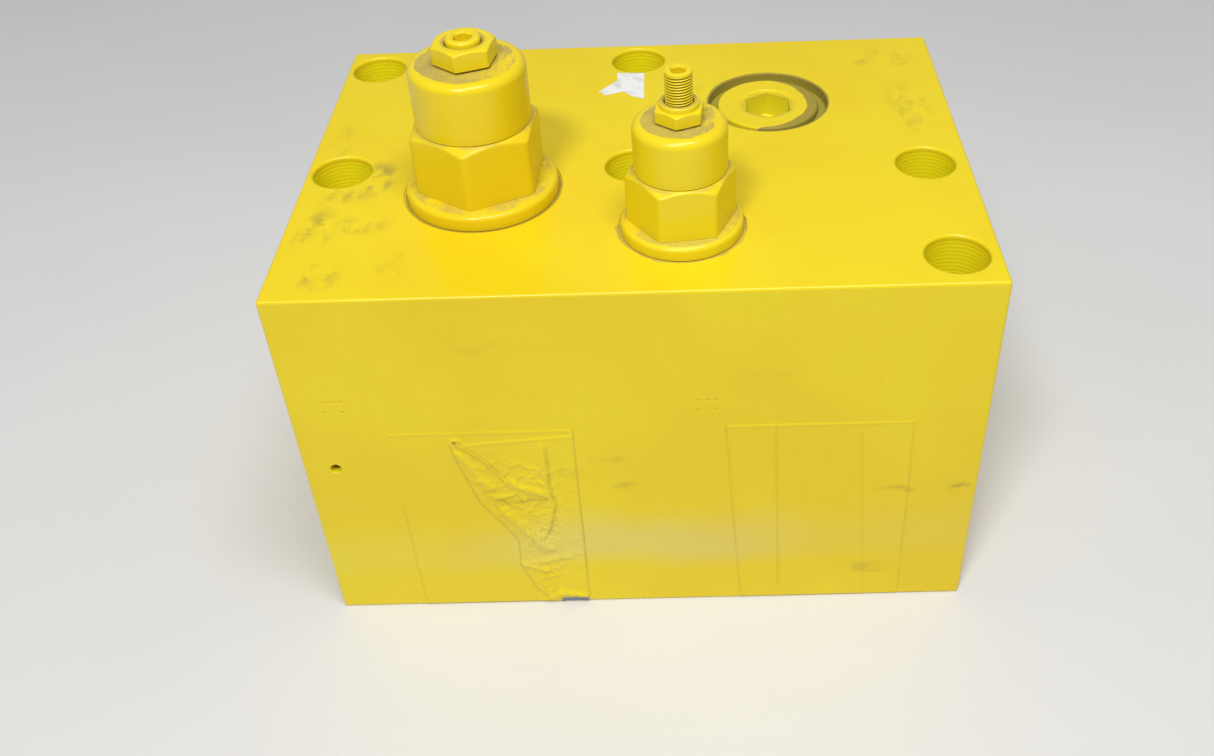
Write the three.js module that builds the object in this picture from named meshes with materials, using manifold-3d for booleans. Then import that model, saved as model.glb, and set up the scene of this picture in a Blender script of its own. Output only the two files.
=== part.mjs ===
// Hydraulic monoblock valve: a painted steel manifold block with two screw-in relief cartridges,
// a hex-socket gallery plug, six counterbored mounting holes and two masked ports in its front face.
// Millimetres, +Z up. The origin is the middle of the block's bottom face, and the front faces -Y.

import * as THREE from 'three';
import { mergeVertices } from 'three/addons/utils/BufferGeometryUtils.js';
import Module from 'manifold-3d';

const wasm = await Module();
wasm.setup();

// ---- driving dimensions ----

const BLOCK = { width: 320, depth: 234, height: 198.5, chamfer: 1 };
const TOP = BLOCK.height;
const FRONT = -BLOCK.depth / 2;
const RIGHT = BLOCK.width / 2;

const BOLT_HOLE = { counterboreR: 14.2, counterboreDepth: 70, shankR: 8.75 };
const BOLT_HOLES = [
  [140.4, -95.1], [139, -18.3], [-142.6, -12], [-142.6, 96.4], [0, 98.2], [-0.5, -13],
];

// The left and right ports run back from the front face.
const PORT = { radius: 16, z: 62, leftX: -72, rightX: 74, leftEnd: -8, rightEnd: 62 };
const PIN_HOLE = { x: -144.8, z: 99.9, radius: 2.6, depth: 15 };

// The tank gallery and the cross gallery are drilled in from the right face and plugged.
const TANK_GALLERY = { y: -50, z: 132, radius: 8, endX: -86 };
const CROSS_GALLERY = { y: -72, z: 76, radius: 6, endX: 21 };
const FOOT_PORT = { boreR: 10, sealR: 15.5, sealDepth: 2.4 };
const PRESSURE_FOOT = [-72, -47];
const TANK_FOOT = [112, -46];

const GALLERY_PLUG = {
  x: 67.8, y: 47, faceR: 30.7, seat: -5.4, collarR: 26, collarTop: -1.2,
  threadR: 20.6, threadLength: 18, boreR: 15, socketAF: 22.6, socketDepth: 13,
};
const SIDE_PLUG = { length: 13, sunk: 1, clearance: 0.3, socketDepth: 7 };

// The painted-over tape on the two front ports, and the scrap of label on the top face.
const TAPE = { gap: 0.05, bottomZ: 1.2, topZ: 121.8 };
const TAPE_LEFT = { fromX: -117.4, toX: -30.8, thickness: 1.8 };
const TAPE_RIGHT = { fromX: 38.8, toX: 128.6, thickness: 0.6 };
const LABEL_THICKNESS = 0.3;
const LABEL_OUTLINE = [
  [-11.2, 83], [3.3, 82.1], [3.5, 53.3], [-3.1, 56.5], [-7.7, 62], [-16.7, 58.3], [-20.4, 62.4], [-11, 74.2],
];

// Facets around every turned piece, the same number all over so that nested pieces keep their gaps.
// The block's cavities have fewer, and CAVITY_FLAT is how far in their flats lie, as a share of the radius.
const SIDES = 24;
const CAVITY_SIDES = 16;
const CAVITY_FLAT = Math.cos(Math.PI / CAVITY_SIDES);

// Heights in a cartridge are from the block's top face: above it is positive, down its cavity negative.
const MAIN = {
  name: 'main', x: -71.8, y: -30.9,
  cavity: { faceR: 37.4, faceDepth: 1, ringR: 28.1, ringDepth: 4.9, threadR: 23.8, chamberEnd: -80,
    noseR: 17.75, noseEnd: -106, inletR: 13, inletEnd: -136.5 },
  flange: { radius: 35.6, underside: -0.7, top: 5.8, rimChamfer: 1 },
  hex: { af: 54.4, turn: -4, bottom: 7.1, top: 37.2, baseR: 26.6 },
  thread: { radius: 23, end: -46 },
  neckR: 19, neckEnd: -79.7,
  nose: { radius: 17, end: -104.5, grooveR: 14, grooveTop: -88.6, grooveBottom: -96 },
  bore: { capR: 17.3, capEnd: 13.4, springR: 13, springEnd: -66, seatR: 11, seatEnd: -96, inletR: 8.2 },
  crossHole: { radius: 4, z: -61 },
  seat: { radius: 10.7, bottom: -95.7, top: -72, boreR: 6.5, coneR: 8.5 },
  poppet: { pistonR: 6, pistonBottom: -88, waistR: 4, coneStart: 5.5, coneEnd: 9, coneEndZ: -71.1,
    shoulderZ: -67.5, stemR: 6, plateR: 12.2, plateBottom: -30, plateTop: -25.6, bossR: 6.8, bossTop: -20 },
  spring: { wireR: 1.9, meanR: 9.9, turns: 6.5 },
  plunger: { radius: 12.6, bossR: 6.8, bossBottom: 14, bottom: 20, top: 33, grooveR: 10.2, grooveFrom: 24.6,
    grooveTo: 28.6 },
  cap: { radius: 26.4, spigotR: 17, spigotBottom: 13.9, neckR: 23.5, bottom: 37.8, top: 65.7, round: 3.6,
    boreR: 13, ceiling: 47.2 },
  screw: { radius: 7.85, bottom: 33.3, top: 77.2, clearance: 0.3, socketAF: 8, socketDepth: 7 },
  nut: { af: 26, turn: -9.5, sealBottom: 65.95, sealTop: 66.65, bottom: 66.9, top: 75.2, collarR: 0,
    collarTop: 0 },
};

const SECONDARY = {
  name: 'secondary', x: 21.7, y: -67.4,
  cavity: { faceR: 29, faceDepth: 0.6, ringR: 21.9, ringDepth: 4.1, threadR: 18.15, chamberEnd: -76,
    noseR: 13.6, noseEnd: -94.5, inletR: 8, inletEnd: -122.5 },
  flange: { radius: 27.6, underside: -0.3, top: 4.7, rimChamfer: 0.9 },
  hex: { af: 43.4, turn: -23.1, bottom: 6.5, top: 30.6, baseR: 21.2 },
  thread: { radius: 17.5, end: -44 },
  neckR: 14.5, neckEnd: -75.7,
  nose: { radius: 13, end: -92.5, grooveR: 10.6, grooveTop: -79.8, grooveBottom: -86 },
  bore: { capR: 13.3, capEnd: 10.4, springR: 9.6, springEnd: -66, seatR: 8.5, seatEnd: -88, inletR: 6 },
  crossHole: { radius: 3.5, z: -61 },
  seat: { radius: 8.2, bottom: -87.7, top: -72, boreR: 4.8, coneR: 6.3 },
  poppet: { pistonR: 4.3, pistonBottom: -85, waistR: 2.8, coneStart: 4.2, coneEnd: 6.8, coneEndZ: -71.1,
    shoulderZ: -68, stemR: 4.4, plateR: 9.1, plateBottom: -30, plateTop: -26.4, bossR: 4.8, bossTop: -21.5 },
  spring: { wireR: 1.3, meanR: 7.6, turns: 9.5 },
  plunger: { radius: 9.2, bossR: 4.8, bossBottom: 24.5, bottom: 29.5, top: 40, grooveR: 7.2, grooveFrom: 33,
    grooveTo: 36.4 },
  cap: { radius: 20.7, spigotR: 13, spigotBottom: 10.9, neckR: 18.4, bottom: 31.2, top: 53.6, round: 3.6,
    boreR: 9.6, ceiling: 41.6 },
  screw: { radius: 5.95, bottom: 40.3, top: 76.8, clearance: 0.25, socketAF: 6, socketDepth: 6 },
  nut: { af: 19.6, turn: -7.7, sealBottom: 53.85, sealTop: 54.4, bottom: 54.65, top: 60.3, collarR: 8.6,
    collarTop: 62.8 },
};

// ---- materials ----

const paint = () => new THREE.MeshStandardMaterial({ color: 0xf2c82e, roughness: 0.32, metalness: 0 });
const steel = () => new THREE.MeshStandardMaterial({ color: 0x9a9a96, roughness: 0.4, metalness: 1 });
const springSteel = () => new THREE.MeshStandardMaterial({ color: 0x55565a, roughness: 0.45, metalness: 1 });
const rubber = () => new THREE.MeshStandardMaterial({ color: 0x1c1c1d, roughness: 0.7, metalness: 0 });
const paper = () => new THREE.MeshStandardMaterial({ color: 0xe9e7da, roughness: 0.8, metalness: 0 });

// ---- solids: joining and cutting ----

// A closed geometry as a solid. Faces that collapse to a line at a lathe's pole are dropped.
function solid(geometry) {
  const bare = geometry.clone();
  bare.deleteAttribute('normal');
  bare.deleteAttribute('uv');
  const merged = mergeVertices(bare, 1e-4);
  const index = merged.index.array;
  const faces = [];
  for (let i = 0; i < index.length; i += 3) {
    const [a, b, c] = [index[i], index[i + 1], index[i + 2]];
    if (a !== b && b !== c && c !== a) faces.push(a, b, c);
  }
  const mesh = new wasm.Mesh({
    numProp: 3,
    vertProperties: new Float32Array(merged.attributes.position.array),
    triVerts: new Uint32Array(faces),
  });
  return new wasm.Manifold(mesh);
}

function cutAway(body, tools) {
  return tools.reduce((left, tool) => left.subtract(tool), body);
}

function geometryOf(body) {
  const { numProp, vertProperties, triVerts } = body.getMesh();
  const positions = new Float32Array((vertProperties.length / numProp) * 3);
  for (let i = 0; i < positions.length / 3; i += 1) {
    for (let axis = 0; axis < 3; axis += 1) positions[i * 3 + axis] = vertProperties[i * numProp + axis];
  }
  const geometry = new THREE.BufferGeometry();
  geometry.setAttribute('position', new THREE.BufferAttribute(positions, 3));
  geometry.setIndex([...triVerts]);
  geometry.computeVertexNormals();
  return geometry;
}

function piece(name, body, material) {
  const mesh = new THREE.Mesh(geometryOf(body), material);
  mesh.name = name;
  return mesh;
}

// ---- shapes ----

// A solid of revolution about Z from [radius, z] points. A profile that leaves the axis is closed.
function turned(points, sides = SIDES) {
  const outline = points.map(([radius, z]) => new THREE.Vector2(radius, z));
  if (points[0][0] > 0) outline.push(outline[0].clone());
  const geometry = new THREE.LatheGeometry(outline, sides);
  geometry.rotateX(Math.PI / 2);
  return facingOut(solid(geometry), geometry);
}

// Profiles are written either way round, so a solid that came out inside-out is turned about.
function facingOut(body, geometry) {
  if (body.volume() > 0) return body;
  const flipped = geometry.clone();
  const index = flipped.index.array;
  for (let i = 0; i < index.length; i += 3) {
    [index[i], index[i + 1]] = [index[i + 1], index[i]];
  }
  return solid(flipped);
}

function rod(radius, length, sides = SIDES) {
  return turned([[0, 0], [radius, 0], [radius, length], [0, length]], sides);
}

// A hexagonal prism from z = 0 up. With no turn, one of its corners points to -Y.
function hexPrism(acrossFlats, height, turnDegrees = 0) {
  const shape = new THREE.Shape();
  for (let corner = 0; corner < 6; corner += 1) {
    const angle = THREE.MathUtils.degToRad(turnDegrees - 90 + corner * 60);
    const radius = acrossFlats / Math.sqrt(3);
    const point = [radius * Math.cos(angle), radius * Math.sin(angle)];
    if (corner === 0) shape.moveTo(...point);
    else shape.lineTo(...point);
  }
  return solid(new THREE.ExtrudeGeometry(shape, { depth: height, bevelEnabled: false }));
}

// A hexagon whose corners are turned off at the top, and at the bottom too if asked.
function turnedHex(acrossFlats, bottom, top, turnDegrees, chamferBottom) {
  const cornerR = acrossFlats / Math.sqrt(3) + 1;
  const faceR = acrossFlats * 0.475;
  const drop = (cornerR - faceR) * 0.58;
  const lower = chamferBottom ? [[faceR, bottom], [cornerR, bottom + drop]] : [[cornerR, bottom]];
  const envelope = turned([[0, bottom], ...lower, [cornerR, top - drop], [faceR, top], [0, top]]);
  return hexPrism(acrossFlats, top - bottom, turnDegrees).translate([0, 0, bottom]).intersect(envelope);
}

function torus(meanR, tubeR, z) {
  const geometry = new THREE.TorusGeometry(meanR, tubeR, 6, SIDES);
  return solid(geometry).translate([0, 0, z]);
}

class SpringPath extends THREE.Curve {
  constructor(radius, turns, bottom, top) {
    super();
    Object.assign(this, { radius, turns, bottom, top });
  }

  // The first and last turns lie flat, and the rest climb evenly between them.
  getPoint(t, target = new THREE.Vector3()) {
    const turn = t * this.turns;
    const climb = THREE.MathUtils.clamp((turn - 0.8) / (this.turns - 1.6), 0, 1);
    const angle = turn * 2 * Math.PI;
    const z = this.bottom + (this.top - this.bottom) * climb;
    return target.set(this.radius * Math.cos(angle), this.radius * Math.sin(angle), z);
  }
}

// ---- the block ----

function chamferedBox({ width, depth, height, chamfer }) {
  const w = width / 2;
  const d = depth / 2;
  const corners = [
    [-w + chamfer, -d], [w - chamfer, -d], [w, -d + chamfer], [w, d - chamfer],
    [w - chamfer, d], [-w + chamfer, d], [-w, d - chamfer], [-w, -d + chamfer],
  ];
  const inset = corners.map(([x, y]) => new THREE.Vector2(
    Math.sign(x) * (Math.abs(x) - chamfer), Math.sign(y) * (Math.abs(y) - chamfer)));
  const shape = new THREE.Shape(inset);
  const geometry = new THREE.ExtrudeGeometry(shape, {
    depth: height - 2 * chamfer, bevelSize: chamfer, bevelThickness: chamfer, bevelSegments: 1,
  });
  geometry.translate(0, 0, chamfer);
  return solid(geometry);
}

function boltHole([x, y]) {
  const { counterboreR, counterboreDepth, shankR } = BOLT_HOLE;
  const floor = TOP - counterboreDepth;
  return turned([
    [0, -1], [shankR, -1], [shankR, floor], [counterboreR, floor], [counterboreR, TOP + 1], [0, TOP + 1],
  ], 12).translate([x, y, 0]);
}

function cartridgeCavity({ x, y, cavity }) {
  const ringTop = -cavity.faceDepth;
  return turned([
    [0, cavity.inletEnd], [cavity.inletR, cavity.inletEnd], [cavity.inletR, cavity.noseEnd],
    [cavity.noseR, cavity.noseEnd], [cavity.noseR, cavity.chamberEnd], [cavity.threadR, cavity.chamberEnd],
    [cavity.threadR, -cavity.ringDepth], [cavity.ringR, -cavity.ringDepth], [cavity.ringR, ringTop],
    [cavity.faceR, ringTop], [cavity.faceR, 1], [0, 1],
  ], CAVITY_SIDES).translate([x, y, TOP]);
}

// The gallery under the plug goes down to the right port, and the plug's collar sits in its spot face.
function pluggedGallery() {
  const { x, y, faceR, seat, threadR, threadLength, boreR } = GALLERY_PLUG;
  const threadEnd = seat - threadLength - 3;
  const wallR = (threadR + 0.3) / CAVITY_FLAT;
  const sealR = (threadR + 3.2) / CAVITY_FLAT;
  return turned([
    [0, PORT.z - TOP], [boreR, PORT.z - TOP], [boreR, threadEnd], [wallR, threadEnd], [wallR, seat - 2.6],
    [sealR, seat - 2.6], [sealR, seat], [faceR, seat], [faceR, 1], [0, 1],
  ], CAVITY_SIDES).translate([x, y, TOP]);
}

function fromFront(radius, x, z, endY, sides) {
  const length = endY - FRONT + 1;
  return rod(radius, length, sides).rotate([-90, 0, 0]).translate([x, FRONT - 1, z]);
}

function fromRight({ radius, y, z, endX }) {
  const length = RIGHT + 1 - endX;
  return rod(radius, length, 10).rotate([0, -90, 0]).translate([RIGHT + 1, y, z]);
}

function sidePlugSeat({ radius, y, z }) {
  const length = SIDE_PLUG.length + SIDE_PLUG.sunk + 1;
  return rod(radius + 2.3, length + 1, 12).rotate([0, -90, 0]).translate([RIGHT + 1, y, z]);
}

function footPort([x, y], topZ) {
  const { boreR, sealR, sealDepth } = FOOT_PORT;
  return turned([
    [0, -1], [sealR, -1], [sealR, sealDepth], [boreR, sealDepth], [boreR, topZ], [0, topZ],
  ], CAVITY_SIDES).translate([x, y, 0]);
}

function block() {
  const body = cutAway(chamferedBox(BLOCK), [
    ...BOLT_HOLES.map(boltHole),
    cartridgeCavity(MAIN),
    cartridgeCavity(SECONDARY),
    pluggedGallery(),
    fromFront(PORT.radius, PORT.leftX, PORT.z, PORT.leftEnd, 12),
    fromFront(PORT.radius, PORT.rightX, PORT.z, PORT.rightEnd, 12),
    fromFront(PIN_HOLE.radius, PIN_HOLE.x, PIN_HOLE.z, FRONT + PIN_HOLE.depth, 8),
    fromRight(TANK_GALLERY),
    fromRight(CROSS_GALLERY),
    sidePlugSeat(TANK_GALLERY),
    sidePlugSeat(CROSS_GALLERY),
    footPort(PRESSURE_FOOT, PORT.z),
    footPort(TANK_FOOT, TANK_GALLERY.z),
  ]);
  return piece('manifold_block', body, paint());
}

// ---- plugs, seals, tape and label on the block ----

function galleryPlug() {
  const { x, y, seat, collarR, collarTop, threadR, threadLength, socketAF, socketDepth } = GALLERY_PLUG;
  const bottom = seat - threadLength;
  const body = turned([
    [0, bottom], [threadR - 1.5, bottom], [threadR, bottom + 1.5], [threadR, seat + 0.3], [collarR, seat + 0.3],
    [collarR, collarTop - 1.2], [collarR - 1.2, collarTop], [0, collarTop],
  ]);
  const socket = hexPrism(socketAF, socketDepth + 1).translate([0, 0, collarTop - socketDepth]);
  return piece('gallery_plug', body.subtract(socket).translate([x, y, TOP]), paint());
}

function galleryPlugSeal() {
  const { x, y, seat, threadR } = GALLERY_PLUG;
  return piece('gallery_plug_seal', torus(threadR + 1.7, 1.1, seat - 1.2).translate([x, y, TOP]), rubber());
}

function sidePlug(name, gallery, socketAF) {
  const { length, sunk, clearance, socketDepth } = SIDE_PLUG;
  const radius = gallery.radius + 2.3 - clearance;
  const body = turned([[0, 0], [radius, 0], [radius, length - 1], [radius - 1, length], [0, length]], 12);
  const socket = hexPrism(socketAF, socketDepth + 1).translate([0, 0, length - socketDepth]);
  const plug = body.subtract(socket).rotate([0, 90, 0]);
  return piece(name, plug.translate([RIGHT - sunk - length, gallery.y, gallery.z]), steel());
}

function footSeal(name, [x, y]) {
  const tubeR = 1.1;
  return piece(name, torus(FOOT_PORT.sealR - tubeR - 0.6, tubeR, tubeR + 0.05).translate([x, y, 0]), rubber());
}

function tapePatch(name, { fromX, toX, thickness }) {
  const { gap, bottomZ, topZ } = TAPE;
  const sheet = new THREE.BoxGeometry(toX - fromX, thickness, topZ - bottomZ);
  sheet.translate((fromX + toX) / 2, FRONT - gap - thickness / 2, (bottomZ + topZ) / 2);
  return piece(name, solid(sheet), paint());
}

function labelRemnant() {
  const shape = new THREE.Shape(LABEL_OUTLINE.map(([x, y]) => new THREE.Vector2(x, y)));
  const sheet = new THREE.ExtrudeGeometry(shape, { depth: LABEL_THICKNESS, bevelEnabled: false });
  sheet.translate(0, 0, TOP + 0.05);
  return piece('label_remnant', solid(sheet), paper());
}

// ---- a screw-in relief cartridge ----

// The hexagon, flange, thread, neck and nose are one turned bar, bored through for the poppet and spring.
function cartridgeBody(c) {
  const { flange, hex, thread, nose, bore } = c;
  const outside = turned([
    [0, nose.end], [nose.radius - 1, nose.end], [nose.radius, nose.end + 1], [nose.radius, nose.grooveBottom],
    [nose.grooveR, nose.grooveBottom], [nose.grooveR, nose.grooveTop], [nose.radius, nose.grooveTop],
    [nose.radius, c.neckEnd], [c.neckR, c.neckEnd], [c.neckR, thread.end], [thread.radius, thread.end],
    [thread.radius, flange.underside], [flange.radius, flange.underside],
    [flange.radius, flange.top - flange.rimChamfer], [flange.radius - flange.rimChamfer, flange.top],
    [hex.baseR, hex.bottom], [hex.baseR, hex.bottom + 1], [0, hex.bottom + 1],
  ]);
  const inside = turned([
    [0, nose.end - 1], [bore.inletR, nose.end - 1], [bore.inletR, bore.seatEnd], [bore.seatR, bore.seatEnd],
    [bore.seatR, bore.springEnd], [bore.springR, bore.springEnd], [bore.springR, bore.capEnd],
    [bore.capR, bore.capEnd], [bore.capR, hex.top + 1], [0, hex.top + 1],
  ]);
  const crossHoles = [0, 90].map((angle) => rod(c.crossHole.radius, 2 * c.neckR + 4, 8)
    .translate([0, 0, -c.neckR - 2]).rotate([90, 0, angle + 45]).translate([0, 0, c.crossHole.z]));
  const hexagon = turnedHex(hex.af, hex.bottom, hex.top, hex.turn, false);
  return cutAway(outside.add(hexagon), [inside, ...crossHoles]);
}

function seatSleeve({ seat }) {
  return turned([
    [seat.boreR, seat.bottom], [seat.radius, seat.bottom], [seat.radius, seat.top], [seat.coneR, seat.top],
    [seat.boreR, seat.top - (seat.coneR - seat.boreR)],
  ]);
}

function poppet({ poppet: p }) {
  const coneStartZ = p.coneEndZ - (p.coneEnd - p.coneStart);
  return turned([
    [0, p.pistonBottom], [p.pistonR, p.pistonBottom], [p.pistonR, p.pistonBottom + 8],
    [p.waistR, p.pistonBottom + 9], [p.waistR, coneStartZ - 1], [p.coneStart, coneStartZ],
    [p.coneEnd, p.coneEndZ], [p.coneEnd, p.shoulderZ], [p.stemR, p.shoulderZ + 1], [p.stemR, p.plateBottom],
    [p.plateR, p.plateBottom], [p.plateR, p.plateTop], [p.bossR, p.plateTop], [p.bossR, p.bossTop - 1],
    [p.bossR - 1, p.bossTop], [0, p.bossTop],
  ]);
}

function spring({ spring: s, poppet: p, plunger }) {
  const bottom = p.plateTop + s.wireR + 0.2;
  const top = plunger.bottom - s.wireR - 0.2;
  const section = new THREE.Shape();
  for (let corner = 0; corner < 6; corner += 1) {
    const angle = (corner * Math.PI) / 3;
    const point = [s.wireR * Math.cos(angle), s.wireR * Math.sin(angle)];
    if (corner === 0) section.moveTo(...point);
    else section.lineTo(...point);
  }
  const path = new SpringPath(s.meanR, s.turns, bottom, top);
  return solid(new THREE.ExtrudeGeometry(section, { extrudePath: path, steps: Math.round(s.turns * 10) }));
}

function plunger({ plunger: p }) {
  return turned([
    [0, p.bossBottom], [p.bossR, p.bossBottom], [p.bossR, p.bottom], [p.radius, p.bottom],
    [p.radius, p.grooveFrom], [p.grooveR, p.grooveFrom], [p.grooveR, p.grooveTo], [p.radius, p.grooveTo],
    [p.radius, p.top], [0, p.top],
  ]);
}

function plungerSeal({ plunger: p, cap }) {
  const tubeR = (cap.boreR - p.grooveR) / 2 - 0.2;
  return torus((cap.boreR + p.grooveR) / 2, tubeR, (p.grooveFrom + p.grooveTo) / 2);
}

// The spring cap: a round-topped drum on a threaded spigot, bored out for the plunger.
function cap({ cap: c, screw, hex }) {
  const arc = [0, 45, 90].map((degrees) => {
    const angle = THREE.MathUtils.degToRad(degrees);
    const shoulder = c.radius - c.round;
    return [shoulder + c.round * Math.cos(angle), c.top - c.round + c.round * Math.sin(angle)];
  });
  const holeR = screw.radius + screw.clearance;
  return turned([
    [c.boreR, c.spigotBottom], [c.spigotR, c.spigotBottom], [c.spigotR, hex.top + 0.35],
    [c.neckR, hex.top + 0.35], [c.neckR, c.bottom], [c.radius - 0.8, c.bottom], [c.radius, c.bottom + 0.8],
    ...arc, [holeR, c.top], [holeR, c.ceiling], [c.boreR, c.ceiling],
  ]);
}

function adjustingScrew({ screw: s }) {
  const body = turned([
    [0, s.bottom], [s.radius - 1.5, s.bottom], [s.radius, s.bottom + 1.5], [s.radius, s.top - 0.9],
    [s.radius - 0.9, s.top], [0, s.top],
  ]);
  return body.subtract(hexPrism(s.socketAF, s.socketDepth + 1).translate([0, 0, s.top - s.socketDepth]));
}

function lockNut({ nut: n, screw }) {
  const hexagon = turnedHex(n.af, n.bottom, n.top, n.turn, true);
  const holeR = screw.radius + screw.clearance;
  const hole = rod(holeR, 20, 24).translate([0, 0, n.bottom - 1]);
  if (n.collarR === 0) return hexagon.subtract(hole);
  const collar = turned([
    [0, n.top - 1], [n.collarR, n.top - 1], [n.collarR, n.collarTop - 0.5], [n.collarR - 0.5, n.collarTop],
    [0, n.collarTop],
  ]);
  return hexagon.add(collar).subtract(hole);
}

function nutSeal({ nut: n, screw }) {
  const holeR = screw.radius + screw.clearance;
  const outerR = n.af / 2 - 0.4;
  return turned([[holeR, n.sealBottom], [outerR, n.sealBottom], [outerR, n.sealTop], [holeR, n.sealTop]]);
}

// The O-ring between the cartridge's thread and the block, just under the flange.
function bodySeal({ cavity, thread, flange }) {
  const wallR = cavity.ringR * CAVITY_FLAT;
  const tubeR = Math.min((wallR - thread.radius) / 2 - 0.2, (cavity.ringDepth + flange.underside) / 2 - 0.1);
  return torus((wallR + thread.radius) / 2, tubeR, flange.underside - tubeR - 0.1);
}

function noseSeal({ nose, cavity }) {
  const wallR = cavity.noseR * CAVITY_FLAT;
  const tubeR = (wallR - nose.grooveR) / 2 - 0.2;
  return torus((wallR + nose.grooveR) / 2, tubeR, nose.grooveTop - tubeR - 0.2);
}

function noseBackup({ nose, cavity }) {
  const innerR = nose.grooveR + 0.15;
  const outerR = cavity.noseR * CAVITY_FLAT - 0.15;
  const top = nose.grooveBottom + 2;
  return turned([
    [innerR, nose.grooveBottom + 0.2], [outerR, nose.grooveBottom + 0.2], [outerR, top], [innerR, top],
  ]);
}

function cartridge(c) {
  const group = new THREE.Group();
  group.position.set(c.x, c.y, TOP);
  group.add(
    piece(`${c.name}_cartridge_body`, cartridgeBody(c), paint()),
    piece(`${c.name}_spring_cap`, cap(c), paint()),
    piece(`${c.name}_valve_seat`, seatSleeve(c), steel()),
    piece(`${c.name}_poppet`, poppet(c), steel()),
    piece(`${c.name}_spring`, spring(c), springSteel()),
    piece(`${c.name}_plunger`, plunger(c), steel()),
    piece(`${c.name}_plunger_seal`, plungerSeal(c), rubber()),
    piece(`${c.name}_adjusting_screw`, adjustingScrew(c), steel()),
    piece(`${c.name}_lock_nut`, lockNut(c), paint()),
    piece(`${c.name}_nut_seal`, nutSeal(c), steel()),
    piece(`${c.name}_body_seal`, bodySeal(c), rubber()),
    piece(`${c.name}_nose_seal`, noseSeal(c), rubber()),
    piece(`${c.name}_nose_backup_ring`, noseBackup(c), rubber()),
  );
  return group;
}

// ---- the assembly ----

const valve = new THREE.Group();
valve.add(
  block(),
  galleryPlug(),
  galleryPlugSeal(),
  sidePlug('tank_gallery_plug', TANK_GALLERY, 10),
  sidePlug('cross_gallery_plug', CROSS_GALLERY, 8),
  footSeal('pressure_foot_seal', PRESSURE_FOOT),
  footSeal('tank_foot_seal', TANK_FOOT),
  tapePatch('left_port_tape', TAPE_LEFT),
  tapePatch('right_port_tape', TAPE_RIGHT),
  labelRemnant(),
  cartridge(MAIN),
  cartridge(SECONDARY),
);

export default valve;
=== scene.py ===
"""Hydraulic monoblock valve: the looks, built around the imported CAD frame.

Metres, +Z up, the front faces -Y. Outlines are written in millimetres and scaled as they become meshes.
"""
import math
from types import SimpleNamespace

import bmesh
import bpy
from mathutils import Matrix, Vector, geometry, noise


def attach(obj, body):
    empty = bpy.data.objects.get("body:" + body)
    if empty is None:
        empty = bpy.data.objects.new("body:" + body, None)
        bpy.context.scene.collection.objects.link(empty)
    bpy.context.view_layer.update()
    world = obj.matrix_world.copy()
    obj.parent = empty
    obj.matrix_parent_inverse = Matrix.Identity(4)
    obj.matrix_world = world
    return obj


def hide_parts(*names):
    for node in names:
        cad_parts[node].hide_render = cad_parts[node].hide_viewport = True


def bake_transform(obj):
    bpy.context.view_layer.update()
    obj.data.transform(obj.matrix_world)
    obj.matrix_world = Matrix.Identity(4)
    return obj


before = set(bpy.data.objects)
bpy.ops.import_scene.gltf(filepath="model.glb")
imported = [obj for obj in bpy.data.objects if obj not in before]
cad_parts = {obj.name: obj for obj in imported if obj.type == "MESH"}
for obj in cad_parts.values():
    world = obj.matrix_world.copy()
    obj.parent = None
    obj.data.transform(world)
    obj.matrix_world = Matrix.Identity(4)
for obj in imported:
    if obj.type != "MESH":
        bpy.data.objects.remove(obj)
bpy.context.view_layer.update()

MM = 0.001
BODY = "valve_body"

# ---- the block, in millimetres ----

HALF_X, HALF_Y, TOP = 160.0, 117.0, 198.5
BLOCK_EDGE = 1.5
MOUTH_EDGE = 0.7
BORE_ROUND = 1.5
SIDE_PLUG_GAP = 0.3
BOLT_HOLE_SIDES, RECESS_SIDES, PASSAGE_SIDES = 64, 96, 48
COUNTERBORE_R, COUNTERBORE_FLOOR, SHANK_R = 14.2, 128.5, 8.75
BOLT_HOLES = [(140.4, -95.1), (139, -18.3), (-142.6, -12), (-142.6, 96.4), (0, 98.2), (-0.5, -13)]
MAIN_AT = (-71.8, -30.9)
SECONDARY_AT = (21.7, -67.4)
PLUG_AT = (67.8, 47)
FOOT_PORTS = {"pressure_foot_seal": (-72, -47), "tank_foot_seal": (112, -46)}
SIDE_PLUGS = {"tank_gallery_plug": (-50, 132, 10.0, 10.0), "cross_gallery_plug": (-72, 76, 8.0, 8.0)}
PORTS = [(-72, 62), (74, 62)]
PIN_HOLE = (-144.8, 99.9)
PUNCH_MARKS = [(-138.6, 138.3), (31.2, 134.2)]


# ---- meshes ----

def add_piece(name, verts, faces, body, slot, replaces, material, weighted=True):
    """A mesh piece from millimetre vertices. It rides on a body, if one is given, and replaces CAD nodes."""
    mesh = bpy.data.meshes.new(name)
    mesh.from_pydata([Vector(v) * MM for v in verts], [], faces)
    tidy = bmesh.new()
    tidy.from_mesh(mesh)
    bmesh.ops.remove_doubles(tidy, verts=tidy.verts, dist=1e-6)
    bmesh.ops.recalc_face_normals(tidy, faces=tidy.faces)
    tidy.to_mesh(mesh)
    tidy.free()
    mesh.polygons.foreach_set("use_smooth", [True] * len(mesh.polygons))
    mesh.set_sharp_from_angle(angle=math.radians(50))
    piece = bpy.data.objects.new(name, mesh)
    bpy.context.scene.collection.objects.link(piece)
    piece.data.materials.append(material)
    if weighted:
        modifier = piece.modifiers.new("even_normals", "WEIGHTED_NORMAL")
        modifier.keep_sharp = True
    if body:
        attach(piece, body)
    if replaces:
        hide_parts(*replaces)
    return piece


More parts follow.
